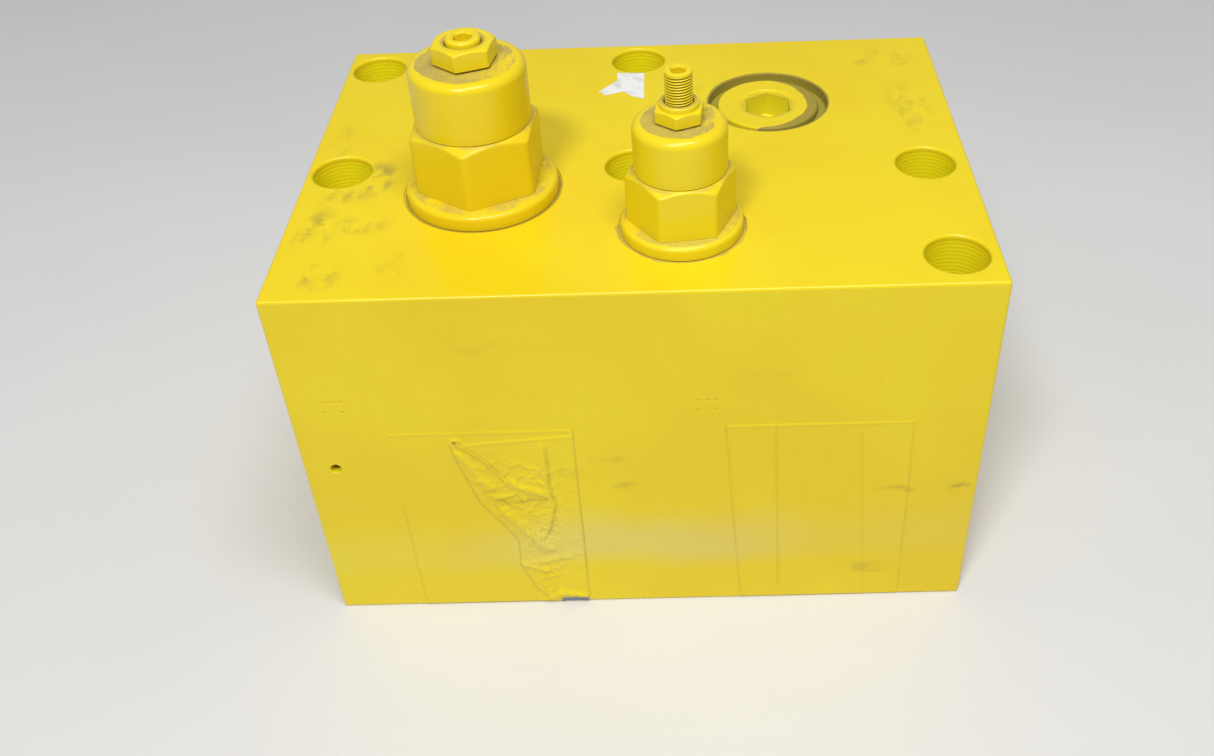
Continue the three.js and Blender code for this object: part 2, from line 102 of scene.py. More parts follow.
def softened(outline, steps=4, closed=False):
    """An outline of (r, z) or (r, z, fillet) points, with each filleted corner turned into an arc."""
    points = []
    count = len(outline)
    for i, corner in enumerate(outline):
        here = Vector(corner[:2])
        fillet = corner[2] if len(corner) > 2 else 0
        at_end = not closed and i in (0, count - 1)
        if fillet == 0 or at_end:
            points.append(here)
            continue
        before = (Vector(outline[i - 1][:2]) - here)
        after = (Vector(outline[(i + 1) % count][:2]) - here)
        half = before.angle(after) / 2
        reach = min(fillet / math.tan(half), before.length * 0.49, after.length * 0.49)
        start = here + before.normalized() * reach
        end = here + after.normalized() * reach
        middle = here + (before.normalized() + after.normalized()).normalized() * (reach / math.cos(half))
        radius = (start - middle).length
        for step in range(steps + 1):
            blend = start.lerp(end, step / steps) - middle
            points.append(middle + blend.normalized() * radius)
    return points


def hex_profile(angle, across_flats, turn, sharpness=70):
    """The radius of a hexagon with slightly soft corners at an angle about its axis."""
    total = 0
    for face in range(6):
        facing = math.cos(angle - math.radians(turn + 60 * face))
        if facing > 0:
            total += (2 * facing / across_flats) ** sharpness
    return total ** (-1 / sharpness)


def capped(radius, limit, sharpness=70):
    """The smaller of two radii, blended softly where they are alike."""
    return (radius ** -sharpness + limit ** -sharpness) ** (-1 / sharpness)


def rings_mesh(rings, closed):
    """Faces between rings of points. A one-point ring is a pole; closed joins the last to the first."""
    verts, starts = [], []
    for ring in rings:
        starts.append(len(verts))
        verts.extend(ring)
    faces = []
    pairs = list(zip(range(len(rings)), range(1, len(rings))))
    if closed:
        pairs.append((len(rings) - 1, 0))
    for low, high in pairs:
        a, b = starts[low], starts[high]
        n, m = len(rings[low]), len(rings[high])
        for i in range(max(n, m)):
            j = (i + 1) % max(n, m)
            if n == 1:
                faces.append((a, b + j, b + i))
            elif m == 1:
                faces.append((a + i, a + j, b))
            else:
                faces.append((a + i, a + j, b + j, b + i))
    return verts, faces


def turned_rings(outline, segments, at=(0, 0, 0), hexes=()):
    """Rings about Z through `at`. Each of hexes, (z from, z to, across flats, turn), cuts the rings there."""
    rings = []
    for r, z in outline:
        if r < 1e-6:
            rings.append([(at[0], at[1], at[2] + z)])
            continue
        cuts = [h for h in hexes if h[0] - 1e-6 <= z <= h[1] + 1e-6]
        ring = []
        for i in range(segments):
            angle = 2 * math.pi * i / segments
            radius = r
            for _, _, across_flats, turn in cuts:
                radius = capped(radius, hex_profile(angle, across_flats, turn))
            ring.append((at[0] + radius * math.cos(angle), at[1] + radius * math.sin(angle), at[2] + z))
        rings.append(ring)
    return rings


# ---- nodes for materials ----

class Look:
    """A small builder for one material's nodes. Its positions are the row frame's metres."""

    def __init__(self, name):
        self.material = bpy.data.materials.new(name)
        self.material.use_nodes = True
        self.tree = self.material.node_tree
        self.shader = self.tree.nodes["Principled BSDF"]
        self.place = self.node("ShaderNodeTexCoord").outputs["Object"]

    def node(self, kind, **settings):
        made = self.tree.nodes.new(kind)
        for key, value in settings.items():
            setattr(made, key, value)
        return made

    def link(self, value, socket):
        if isinstance(value, bpy.types.NodeSocket):
            self.tree.links.new(value, socket)
        else:
            socket.default_value = value

    def math(self, operation, *values):
        made = self.node("ShaderNodeMath", operation=operation)
        for value, socket in zip(values, made.inputs):
            self.link(value, socket)
        return made.outputs[0]

    def times(self, first, second):
        return self.math("MULTIPLY", first, second)

    def plus(self, first, second):
        return self.math("ADD", first, second)

    def span(self, value, low, high, to_low=0.0, to_high=1.0):
        """value moved smoothly from low..high to to_low..to_high, and held beyond them."""
        made = self.node("ShaderNodeMapRange", interpolation_type="SMOOTHSTEP")
        self.link(value, made.inputs["Value"])
        ends = {"From Min": low, "From Max": high, "To Min": to_low, "To Max": to_high}
        for key, end in ends.items():
            made.inputs[key].default_value = end
        return made.outputs["Result"]

    def stretched(self, scale, shift=(0, 0, 0)):
        made = self.node("ShaderNodeMapping")
        self.link(self.place, made.inputs["Vector"])
        made.inputs["Scale"].default_value = scale
        made.inputs["Location"].default_value = shift
        return made.outputs["Vector"]

    def noise(self, scale, detail=4.0, rough=0.55, place=None):
        made = self.node("ShaderNodeTexNoise")
        self.link(self.place if place is None else place, made.inputs["Vector"])
        made.inputs["Scale"].default_value = scale
        made.inputs["Detail"].default_value = detail
        made.inputs["Roughness"].default_value = rough
        return made.outputs["Fac"]

    def mix(self, share, first, second):
        made = self.node("ShaderNodeMix", data_type="RGBA")
        self.link(share, made.inputs["Factor"])
        self.link(first, made.inputs["A"])
        self.link(second, made.inputs["B"])
        return made.outputs["Result"]

    def axes(self):
        made = self.node("ShaderNodeSeparateXYZ")
        self.link(self.place, made.inputs[0])
        return made.outputs

    def attribute(self, name):
        return self.node("ShaderNodeAttribute", attribute_name=name).outputs["Fac"]

    def spot(self, centre, size, solid=0.3):
        """1 at a place, falling to 0 at its edge. centre and size are in millimetres along X, Y and Z."""
        shift = tuple(-c / s for c, s in zip(centre, size))
        place = self.stretched(tuple(1000 / s for s in size), shift)
        length = self.node("ShaderNodeVectorMath", operation="LENGTH")
        self.link(place, length.inputs[0])
        return self.span(length.outputs["Value"], solid, 1.0, 1.0, 0.0)

    def largest(self, values):
        total = values[0]
        for value in values[1:]:
            total = self.math("MAXIMUM", total, value)
        return total

    def bumps(self, layers):
        """Bump from (height, strength, distance in millimetres) layers."""
        normal = None
        for height, strength, distance in layers:
            made = self.node("ShaderNodeBump")
            made.inputs["Strength"].default_value = strength
            made.inputs["Distance"].default_value = distance * MM
            self.link(height, made.inputs["Height"])
            if normal is not None:
                self.link(normal, made.inputs["Normal"])
            normal = made.outputs["Normal"]
        self.link(normal, self.shader.inputs["Normal"])

    def finish(self, colour, roughness, metallic=0.0, coat=0.0):
        self.link(colour, self.shader.inputs["Base Color"])
        self.link(roughness, self.shader.inputs["Roughness"])
        self.shader.inputs["Metallic"].default_value = metallic
        self.shader.inputs["Specular IOR Level"].default_value = 0.32
        self.shader.inputs["Coat Weight"].default_value = coat
        self.shader.inputs["Coat Roughness"].default_value = 0.12
        return self.material


# ---- paint ----

YELLOW = (0.87, 0.690, 0.012, 1)
YELLOW_DEEP = (0.84, 0.625, 0.008, 1)
# Painted light: a paler yellow for the insides of holes and sockets.
HOLLOW_LIGHT = (0.93, 0.83, 0.012, 1)
# Dark stains, and painted shade in gaps, holes and thread grooves.
STAIN_AND_SHADE = (0.20, 0.155, 0.05, 1)
# Dust; round the adjusting screws on the nuts it also stands for painted shadow.
DUST_AND_SHADE = (0.43, 0.33, 0.13, 1)
GRIME = (0.27, 0.205, 0.05, 1)
# Painted reflection: a pale band low on the front, with a faint rubbed film.
REFLECTION_HAZE = (0.60, 0.62, 0.42, 1)
# Dirt and painted shadow along the tape's folds and edges.
CREASE_DIRT_AND_SHADOW = (0.16, 0.13, 0.03, 1)
BARE = (0.20, 0.22, 0.30, 1)


def paint(name, dust_and_shade=None, scuff=None, reflection_haze=None, hollow_light=None, brushed=0.0, marks=False, stain_and_shade=None):
    """Thick glossy enamel. Each mask comes from the Look: dirt, in places painted shadow; scuffs; a painted
    reflection with a faint rubbed film; painted light in hollows; stains, and painted shade. brushed is the
    strength of fine lines, and marks turns on the tape's attributes for dirt and painted shadow in its
    creases, and for bare metal."""
    look = Look(name)
    drift = look.noise(9.0, 3.0)
    colour = look.mix(look.span(drift, 0.35, 0.65), YELLOW, YELLOW_DEEP)
    rough = look.span(look.noise(60.0, 3.0), 0.3, 0.7, 0.24, 0.36)
    layers = [(look.noise(420.0, 2.0), 0.2, 0.08)]
    if brushed:
        lines = look.noise(1.0, 3.0, 0.6, look.stretched((900, 900, 12)))
        layers.append((lines, brushed, 0.06))
        colour = look.mix(look.span(lines, 0.4, 0.75, 0.0, 0.3), colour, YELLOW_DEEP)
    if hollow_light:
        # Painted light: the insides of hollows are made paler.
        colour = look.mix(hollow_light(look), colour, HOLLOW_LIGHT)
    if reflection_haze:
        # Painted reflection, with a faint rubbed film, on the lower front.
        share = reflection_haze(look)
        colour = look.mix(share, colour, REFLECTION_HAZE)
        rough = look.plus(rough, look.times(share, 0.1))
    if scuff:
        share = look.times(scuff(look), 0.8)
        colour = look.mix(share, colour, GRIME)
        rough = look.plus(rough, look.times(share, 0.35))
    if marks:
        # Dirt and painted shadow along the tape's creases and edges.
        colour = look.mix(look.times(look.attribute("crease_dirt_and_shadow"), 0.75), colour, CREASE_DIRT_AND_SHADOW)
        colour = look.mix(look.attribute("bare"), colour, BARE)
        rough = look.plus(rough, look.times(look.attribute("crease_dirt_and_shadow"), 0.3))
    if dust_and_shade:
        # Dirt, and painted shadow round the screws on the nuts.
        share = dust_and_shade(look)
        grain = look.noise(900.0, 2.0)
        darker = tuple(0.75 * c for c in DUST_AND_SHADE)
        colour = look.mix(share, colour, look.mix(look.span(grain, 0.3, 0.7), DUST_AND_SHADE, darker))
        rough = look.plus(rough, look.times(share, 0.55))
        layers.append((look.times(grain, share), 0.3, 0.1))
    if stain_and_shade:
        # Stains, and painted shade in gaps, holes and thread grooves.
        share = stain_and_shade(look)
        colour = look.mix(share, colour, STAIN_AND_SHADE)
        rough = look.plus(rough, look.times(share, 0.5))
    look.bumps(layers)
    return look.finish(colour, rough, coat=0.1)


def smeared(look, spots, stretch, low, high):
    """Soft smears inside spots: a stretched noise broken up by a finer one."""
    smear = look.noise(1.0, 4.0, 0.55, look.stretched(stretch))
    grit = look.noise(420.0, 3.0, 0.7)
    mixed = look.plus(look.times(smear, 0.75), look.times(grit, 0.25))
    region = look.largest([look.times(look.spot(at, size), share) for at, size, share in spots])
    return look.times(look.span(mixed, low, high), region)


TOP_SCUFFS = [
    ((-123, -20, TOP), (14, 22, 9), 0.8), ((-146, -62, TOP), (12, 26, 9), 0.6),
    ((-149, 17, TOP), (8, 22, 9), 0.5), ((-128, -60, TOP), (22, 10, 9), 0.6),
    ((-137, -100, TOP), (14, 14, 9), 0.6), ((-105, -92, TOP), (10, 14, 9), 0.45),
    ((-137, -33, TOP), (16, 10, 9), 0.6), ((132, 92, TOP), (26, 14, 9), 0.4),
    ((140, 36, TOP), (16, 34, 9), 0.4), ((40, 62, TOP), (14, 30, 9), 0.25),
]
FRONT_SCUFFS = [
    ((-17, -117, 101), (12, 9, 4), 0.45), ((-9, -117, 84), (9, 9, 4), 0.35),
    ((-36, -117, 94), (7, 9, 4), 0.4), ((122, -117, 77), (14, 9, 4), 0.5),
    ((60, -117, 150), (14, 9, 5), 0.2), ((152, -117, 77), (9, 9, 5), 0.7),
    ((113, -117, 22), (18, 9, 6), 0.4), ((-60, -117, 170), (30, 9, 8), 0.12),
]


def block_scuffs(look):
    on_top = smeared(look, TOP_SCUFFS, (120, 70, 120), 0.44, 0.66)
    on_front = smeared(look, FRONT_SCUFFS, (60, 60, 260), 0.44, 0.64)
    return look.math("MAXIMUM", on_top, on_front)


def front_reflection_haze(look):
    """A painted reflection across the lower front face, strongest in the middle: a pale band, partly a rubbed
    film.
    """
    x, y, z = look.axes()
    wander = look.span(look.noise(9.0, 2.0), 0.3, 0.7, -0.006, 0.006)
    height = look.plus(look.math("SUBTRACT", z, look.times(x, 0.06)), wander)
    band = look.times(look.span(height, 0.022, 0.040), look.span(height, 0.074, 0.044))
    middle = look.times(look.span(x, -0.11, -0.03), look.span(x, 0.10, 0.02))
    front = look.span(y, -0.1165, -0.1170)
    share = look.times(look.plus(look.times(middle, 0.20), 0.07), front)
    return look.times(band, share)


def block_hollow_light(look):
    """Painted light in the holes and hollows: deeper than the faces on every side, they are made paler."""
    x, y, z = look.axes()
    within_x = look.span(look.math("ABSOLUTE", x), 0.1590, 0.1580)
    within_y = look.span(look.math("ABSOLUTE", y), 0.1158, 0.1150)
    below = look.span(z, (TOP - 0.8) * MM, (TOP - 5.0) * MM)
    return look.times(look.times(within_x, within_y), below)


def groove_shade(at, radius, top):
    """Painted shade in a screw's thread, between its crests."""
    ring = dirt_and_shade_ring(at, radius - 1.5, radius - 0.2, 0.7, 0.0)

    def mask(look):
        below = look.span(look.axes()[2], (top - 0.1) * MM, (top - 0.6) * MM)
        return look.times(ring(look), below)
    return mask


def dirt_and_shade_ring(centre, inner, outer, share, ragged=1.6):
    """A ring between two radii about a vertical axis, with a ragged outer edge, for dirt and for painted
    shade in gaps. Radii in millimetres.
    """
    def mask(look):
        shift = (-centre[0] * MM, -centre[1] * MM, 0)
        place = look.stretched((1, 1, 0), shift)
        length = look.node("ShaderNodeVectorMath", operation="LENGTH")
        look.link(place, length.inputs[0])
        drift = look.math("SUBTRACT", look.noise(110.0, 5.0, 0.7), 0.5)
        wander = look.times(drift, ragged * 4 * MM)
        radius = look.plus(length.outputs["Value"], wander)
        ring = look.times(look.span(radius, inner * MM, (inner + 0.3) * MM),
                         look.span(radius, outer * MM, (outer - 0.5) * MM))
        return look.times(ring, share)
    return mask


def top_dust(centre, radius, height, share=0.82):
    """Dust on a flat top: inside a radius, above a height, and partly wiped off its right side."""
    ring = dirt_and_shade_ring(centre, -5, radius, share)

    def mask(look):
        x, _, z = look.axes()
        above = look.span(z, (height - 0.4) * MM, (height - 0.1) * MM)
        side = look.span(x, (centre[0] + 2) * MM, (centre[0] + radius) * MM)
        scratches = look.span(look.noise(1.0, 5.0, 0.7, look.stretched((420, 120, 1))), 0.42, 0.56)
        wiped = look.math("SUBTRACT", 1.0, look.times(side, scratches))
        thin = look.span(look.noise(70.0, 4.0), 0.3, 0.7, 0.65, 1.0)
        covered = look.times(ring(look), above)
        return look.times(covered, look.times(wiped, thin))
    return mask


def joined(*masks):
    return lambda look: look.largest([mask(look) for mask in masks])


def between(low, high, share):
    """Dust in a groove between two heights."""
    def mask(look):
        z = look.axes()[2]
        band = look.times(look.span(z, low * MM, (low + 0.3) * MM),
                         look.span(z, high * MM, (high - 0.4) * MM))
        patchy = look.span(look.noise(90.0, 4.0), 0.35, 0.6)
        return look.times(look.times(band, patchy), share)
    return mask


def plain_look(name, colour, roughness, metallic, speckle=0.15, scale=400.0):
    """A bare material with fine variation in its colour, roughness and surface."""
    look = Look(name)
    grain = look.noise(scale, 4.0)
    darker = tuple(c * (1 - speckle * 2) for c in colour[:3]) + (1,)
    shade = look.mix(look.span(grain, 0.3, 0.7), darker, colour)
    rough = look.span(grain, 0.3, 0.7, roughness * 0.8, roughness * 1.2)
    look.bumps([(grain, 0.2, 0.03)])
    return look.finish(shade, rough, metallic)


# ---- the block ----

def disc_points(x, y, radius, segments):
    angles = [2 * math.pi * i / segments for i in range(segments)]
    return [(x + radius * math.cos(angle), y + radius * math.sin(angle)) for angle in angles]


def holed_face(half_u, centre_v, half_v, holes, to_space):
    """A flat rectangle with round holes, as triangles. holes are (u, v, radius, segments)."""
    points = [Vector(p) for p in ((-half_u, centre_v - half_v), (half_u, centre_v - half_v),
                                  (half_u, centre_v + half_v), (-half_u, centre_v + half_v))]
    edges = [(0, 1), (1, 2), (2, 3), (3, 0)]
    for u, v, radius, segments in holes:
        first = len(points)
        points.extend(Vector(p) for p in disc_points(u, v, radius, segments))
        edges.extend((first + i, first + (i + 1) % segments) for i in range(segments))
    spots, _, faces, *_ = geometry.delaunay_2d_cdt(points, edges, [], 0, 1e-7)
    kept = []
    for face in faces:
        middle = sum((spots[i] for i in face), Vector((0, 0))) / len(face)
        if all((middle - Vector(h[:2])).length > h[2] * math.cos(math.pi / h[3]) - 1e-3 for h in holes):
            kept.append(tuple(face))
    return [to_space(p.x, p.y) for p in spots], kept


def rounded_box_shell():
    """The block's rounded edges and corners, and its plain back and left faces."""
    r = BLOCK_EDGE
    steps = 4
    levels = [math.radians(90 * i / steps) for i in range(steps + 1)]
    corner_signs = [(1, -1), (1, 1), (-1, 1), (-1, -1)]
    rings = []
    for pole, base in ((-1, r), (1, TOP - r)):
        ordered = levels[::-1] if pole < 0 else levels
        for level in ordered:
            ring = []
            for k, (sx, sy) in enumerate(corner_signs):
                start = -90 + 90 * k
                for i in range(steps + 1):
                    angle = math.radians(start + 90 * i / steps)
                    out = r * math.cos(level)
                    ring.append((sx * (HALF_X - r) + out * math.cos(angle),
                                 sy * (HALF_Y - r) + out * math.sin(angle),
                                 base + pole * r * math.sin(level)))
            rings.append(ring)
    return rings_mesh(rings, closed=False)


def without_sides(verts, faces):
    """The shell less its front and right faces, which have holes of their own."""
    kept = []
    for face in faces:
        xs = [verts[i][0] for i in face]
        ys = [verts[i][1] for i in face]
        on_front = max(ys) < -HALF_Y + 1e-6
        on_right = min(xs) > HALF_X - 1e-6
        if not (on_front or on_right):
            kept.append(face)
    return kept


def machined_wall(radius, top, bottom, pitch=2.0, depth=0.14, rows=6):
    """(r, z) points down a bored wall that has shallow turning marks in it."""
    points = []
    count = int((top - bottom) / pitch * rows)
    for i in range(count + 1):
        z = top + (bottom - top) * i / count
        phase = (top - z) / pitch
        strength = 0.5 + 0.5 * noise.noise((phase * 0.37, 0, 3))
        points.append((radius + depth * strength * (1 - math.cos(2 * math.pi * phase)) / 2, z))
    return points


def hole_mouth(radius, edge=MOUTH_EDGE, steps=3):
    """(r, depth) points of a rounded hole mouth, from the face inwards."""
    return [(radius + edge * (1 - math.sin(math.radians(90 * i / steps))),
             edge * (1 - math.cos(math.radians(90 * i / steps)))) for i in range(steps + 1)]


def bolt_hole_outline():
    mouth = [(r, TOP - d) for r, d in hole_mouth(COUNTERBORE_R, BORE_ROUND, 6)]
    wall = machined_wall(COUNTERBORE_R, TOP - BORE_ROUND - 0.5, TOP - 42)
    floor = [(COUNTERBORE_R, COUNTERBORE_FLOOR), (SHANK_R, COUNTERBORE_FLOOR)]
    return mouth + wall + floor + hole_mouth(SHANK_R)[::-1]


def on_front(x, z, depth):
    return x, -HALF_Y + depth, z


def on_right(y, z, depth):
    return HALF_X - depth, y, z


def side_bore(u, v, outline, segments, to_space):
    """A round hole from a side face inwards. to_space turns a place on the face and a depth to a point."""
    rings = [[to_space(*point, depth) for point in disc_points(u, v, r, segments if r > 0 else 1)]
             for r, depth in outline]
    return rings_mesh(rings, closed=False)


def recess_outline(steps_down, edge):
    """A stepped blind hole from the top face: (r, depth) corners, the first one its mouth."""
    mouth = [(r, TOP - d) for r, d in hole_mouth(steps_down[0][0], edge)]
    return mouth + [(r, TOP - d) for r, d in steps_down[1:]]


MAIN_CAVITY = [(37.4, 0), (37.4, 1), (27.7, 1), (27.7, 4.9), (23.4, 4.9), (23.4, 80), (17.5, 80),
               (17.5, 106), (13, 106), (13, 136), (0, 136)]
SECONDARY_CAVITY = [(28.9, 0), (28.9, 0.7), (21.6, 0.7), (21.6, 4.1), (17.9, 4.1), (17.9, 76), (13.4, 76),
                    (13.4, 94.5), (8, 94.5), (8, 122), (0, 122)]
PLUG_CAVITY = [(30.7, 0), (30.7, 5.4), (24.2, 5.4), (24.2, 8), (20.9, 8), (20.9, 26.4), (15, 26.4),
               (15, 120), (0, 120)]


def block_mesh():
    verts, faces = rounded_box_shell()
    faces = without_sides(verts, faces)

    def merge(more_verts, more_faces):
        first = len(verts)
        verts.extend(more_verts)
        faces.extend(tuple(first + i for i in face) for face in more_faces)

    top_holes, bottom_holes = [], []
    for x, y in BOLT_HOLES:
        outline = bolt_hole_outline()
        merge(*rings_mesh(turned_rings(outline, BOLT_HOLE_SIDES, (x, y, 0)), closed=False))
        top_holes.append((x, y, outline[0][0], BOLT_HOLE_SIDES))
        bottom_holes.append((x, y, outline[-1][0], BOLT_HOLE_SIDES))
    recesses = ((MAIN_AT, MAIN_CAVITY, 0.5), (SECONDARY_AT, SECONDARY_CAVITY, 0.5),
                (PLUG_AT, PLUG_CAVITY, 0.6))
    for (x, y), cavity, edge in recesses:
        outline = recess_outline(cavity, edge)
        merge(*rings_mesh(turned_rings(outline, RECESS_SIDES, (x, y, 0)), closed=False))
        top_holes.append((x, y, outline[0][0], RECESS_SIDES))
    for x, y in FOOT_PORTS.values():
        outline = hole_mouth(15.5, 0.4) + [(15.5, 2.4), (10, 2.4), (10, 55), (0, 55)]
        merge(*rings_mesh(turned_rings(outline, PASSAGE_SIDES, (x, y, 0)), closed=False))
        bottom_holes.append((x, y, outline[0][0], PASSAGE_SIDES))

    flat_x, flat_y = HALF_X - BLOCK_EDGE, HALF_Y - BLOCK_EDGE
    merge(*holed_face(flat_x, 0, flat_y, top_holes, lambda u, v: (u, v, TOP)))
    merge(*holed_face(flat_x, 0, flat_y, bottom_holes, lambda u, v: (u, v, 0)))

    front_holes = []
    for x, z in PORTS:
        outline = hole_mouth(16, 0.8) + [(16, 100), (0, 100)]
        merge(*side_bore(x, z, outline, 64, on_front))
        front_holes.append((x, z, outline[0][0], 64))
    merge(*side_bore(*PIN_HOLE, hole_mouth(2.6, 0.4) + [(2.6, 14), (0, 15)], 32, on_front))
    front_holes.append((*PIN_HOLE, 3.0, 32))
    dimple = [(0.9, 0), (0.75, 0.12), (0.3, 0.55), (0, 0.62)]
    for x, z in PUNCH_MARKS:
        for dx, dz in ((-4, 3), (0, 3), (4, 3), (-4, -3), (4, -3)):
            merge(*side_bore(x + dx, z + dz, dimple, 16, on_front))
            front_holes.append((x + dx, z + dz, 0.9, 16))
    middle, flat_z = TOP / 2, TOP / 2 - BLOCK_EDGE
    merge(*holed_face(flat_x, middle, flat_z, front_holes, lambda u, v: on_front(u, v, 0)))

    right_holes = []
    for y, z, gallery_r, _ in SIDE_PLUGS.values():
        seat_r = gallery_r + SIDE_PLUG_GAP
        outline = hole_mouth(seat_r, 0.5) + [(seat_r, 15), (0, 15)]
        merge(*side_bore(y, z, outline, PASSAGE_SIDES, on_right))
        right_holes.append((y, z, outline[0][0], PASSAGE_SIDES))
    merge(*holed_face(flat_y, middle, flat_z, right_holes, lambda u, v: on_right(u, v, 0)))
    return verts, faces


def pin_hole_shade(look):
    # Painted shade inside the pin hole.
    return look.spot((PIN_HOLE[0], -HALF_Y + 8, PIN_HOLE[1]), (4, 8.4, 4), 0.6)


# Painted light in the holes, a painted reflection low on the front, and painted shadow in the gaps round the
# main flange and the plug collar and in the pin hole.
block_paint = paint(
    "block_enamel", scuff=block_scuffs, reflection_haze=front_reflection_haze, hollow_light=block_hollow_light, brushed=0.15,
    dust_and_shade=dirt_and_shade_ring(SECONDARY_AT, 25, 29.6, 0.5, 2.2),
    stain_and_shade=joined(dirt_and_shade_ring(MAIN_AT, 30, 37.2, 0.6, 0.4), dirt_and_shade_ring(PLUG_AT, 20, 32.0, 0.75, 0.4),
                pin_hole_shade))
add_piece("block_shell", *block_mesh(), BODY, "yellow_paint", ["manifold_block"], block_paint)


# ---- cartridges ----

def thread_rings(radius, low, high, pitch, depth, segments=72, rows=10):
    """Rings of a right-hand thread: each ring's radius follows the helix round."""
    rings = []
    count = int((high - low) / pitch * rows)
    for i in range(count + 1):
        z = low + (high - low) * i / count
        ring = []
        for k in range(segments):
            turn = k / segments
            phase = (z / pitch - turn) % 1.0
            valley = max(0.0, abs(phase - 0.5) * 2 * 1.15 - 0.15)
            fade = max(0.0, min(1.0, (high - z) / (0.4 * pitch)))
            cut = depth * valley ** 1.2 * fade
            angle = 2 * math.pi * turn
            ring.append(((radius - cut) * math.cos(angle), (radius - cut) * math.sin(angle), z))
        rings.append(ring)
    return rings


def shifted(rings, at):
    return [[(x + at[0], y + at[1], z + at[2]) for x, y, z in ring] for ring in rings]


def socket_rings(across_flats, top, depth, segments, mouth_r):
    """A hexagon socket from its chamfered mouth down to a drilled point."""
    rings = []
    for z, grow in ((top, 1.0), (top - 0.5, 0.0), (top - 0.9, 0.0), (top - depth, 0.0)):
        ring = []
        for k in range(segments):
            angle = 2 * math.pi * k / segments
            flat = hex_profile(angle, across_flats, 0, 160)
            radius = flat + (mouth_r - flat) * grow
            ring.append((radius * math.cos(angle), radius * math.sin(angle), z))
        rings.append(ring)
    rings.append([(0, 0, top - depth - across_flats * 0.25)])
    return rings


def screw_mesh(at, radius, low, high, pitch, across_flats, depth, rim, threaded_to):
    """An adjusting screw: a chamfered foot, the thread, a rounded rim and a hexagon socket in the top."""
    segments = 72
    foot = [(x, y, low) for x, y in disc_points(0, 0, radius - 1.4, segments)]
    below = [[(0, 0, low)], foot]
    thread = thread_rings(radius, low + 1.0, threaded_to, pitch, 0.72 * pitch)
    mouth_r = across_flats / math.sqrt(3) + 0.35
    rim_outline = softened([(radius, threaded_to + 0.02), (radius, high, rim), (mouth_r, high, 0.3),
                            (mouth_r - 0.2, high - 0.4)], steps=6)
    rim_rings = turned_rings([tuple(p) for p in rim_outline][:-1], segments)
    socket = socket_rings(across_flats, high - 0.25, depth, segments, mouth_r)
    return rings_mesh(shifted(below + thread + rim_rings + socket, at), closed=False)


def hex_body_outline(c):
    """Flange, hexagon and bore of a cartridge body as one closed outline."""
    hex_r = c.hex_af / math.sqrt(3) + 0.4
    face_r = c.hex_af * 0.478
    drop = (hex_r - face_r) * 0.6
    outside = [
        (c.inlet_r, c.nose_end), (c.nose_r, c.nose_end, 0.8), (c.nose_r, c.groove[0]),
        (c.groove_r, c.groove[0]), (c.groove_r, c.groove[1]), (c.nose_r, c.groove[1]),
        (c.nose_r, c.neck_end), (c.neck_r, c.neck_end), (c.neck_r, c.thread_end),
        (c.thread_r, c.thread_end, 1), (c.thread_r, c.underside),
        (c.flange_r, c.underside, 0.3),
        (c.flange_r, c.flange_top, c.flange_round), (c.seat_r, c.hex_bottom - 0.2, 1.2),
        (c.seat_r - 0.8, c.hex_bottom - 0.1, 0.3), (c.hex_af / 2 - 0.6, c.hex_bottom - 0.1),
    ]
    steps = 10
    hexagon = [(hex_r, c.hex_bottom), (hex_r, c.hex_bottom + 0.5), (hex_r, c.hex_top - drop * 1.02)]
    for i in range(steps + 1):
        share = i / steps
        hexagon.append((hex_r + (face_r - hex_r) * share, c.hex_top - drop * (1 - share)))
    inside = [
        (face_r - 0.5, c.hex_top), (c.cap_bore_r, c.hex_top), (c.cap_bore_r, c.cap_bore_end),
        (c.spring_bore_r, c.cap_bore_end), (c.spring_bore_r, c.spring_bore_end),
        (c.seat_bore_r, c.spring_bore_end), (c.seat_bore_r, c.seat_end),
        (c.inlet_r, c.seat_end),
    ]
    return [tuple(p) for p in softened(outside, closed=False)] + hexagon + inside


def cap_outline(c):
    """The spring cap: a spigot in the hexagon, a drum that sits down on it, and a hole for the screw."""
    foot = c.hex_top + 0.35
    return [tuple(p) for p in softened([
        (c.bore_r, c.spigot_bottom), (c.spigot_r, c.spigot_bottom), (c.spigot_r, foot),
        (c.cap_r - 0.1, foot, 0.25), (c.cap_r - 0.1, foot + 1.4, 0.4), (c.cap_r, foot + 1.7, 0.4),
        (c.cap_r, c.top, c.round), (c.hole_r, c.top), (c.hole_r, c.ceiling),
        (c.bore_r, c.ceiling)], steps=7, closed=True)]


def nut_rings(c, at):
    """A hexagon nut chamfered on top, with a round collar there where it has one."""
    corner_r = c.af / math.sqrt(3) + 0.3
    face_r = c.af * 0.487
    drop = (corner_r - face_r) * 0.5
    steps = 8
    points = [(c.hole_r, c.bottom), (corner_r - 0.3, c.bottom), (corner_r, c.bottom + 0.25),
              (corner_r, c.top - drop * 1.05)]
    points += [(corner_r + (face_r - corner_r) * i / steps, c.top - drop * (1 - i / steps))
               for i in range(steps + 1)]
    hexes = [(c.bottom - 0.01, c.top + 0.01, c.af, c.turn)]
    if c.collar_r:
        collar = softened([(c.collar_r, c.top + 0.05), (c.collar_r + 0.05, c.top + 0.3),
                           (c.collar_r, c.collar_top, 1.7), (c.hole_r + 0.5, c.collar_top, 0.4),
                           (c.hole_r, c.collar_top - 0.9)], steps=6)
        points += [tuple(p) for p in collar]
    else:
        points += [(face_r - 0.6, c.top), (c.hole_r + 1.0, c.top), (c.hole_r, c.top - 1.0)]
    return turned_rings(points, 144, at, hexes)


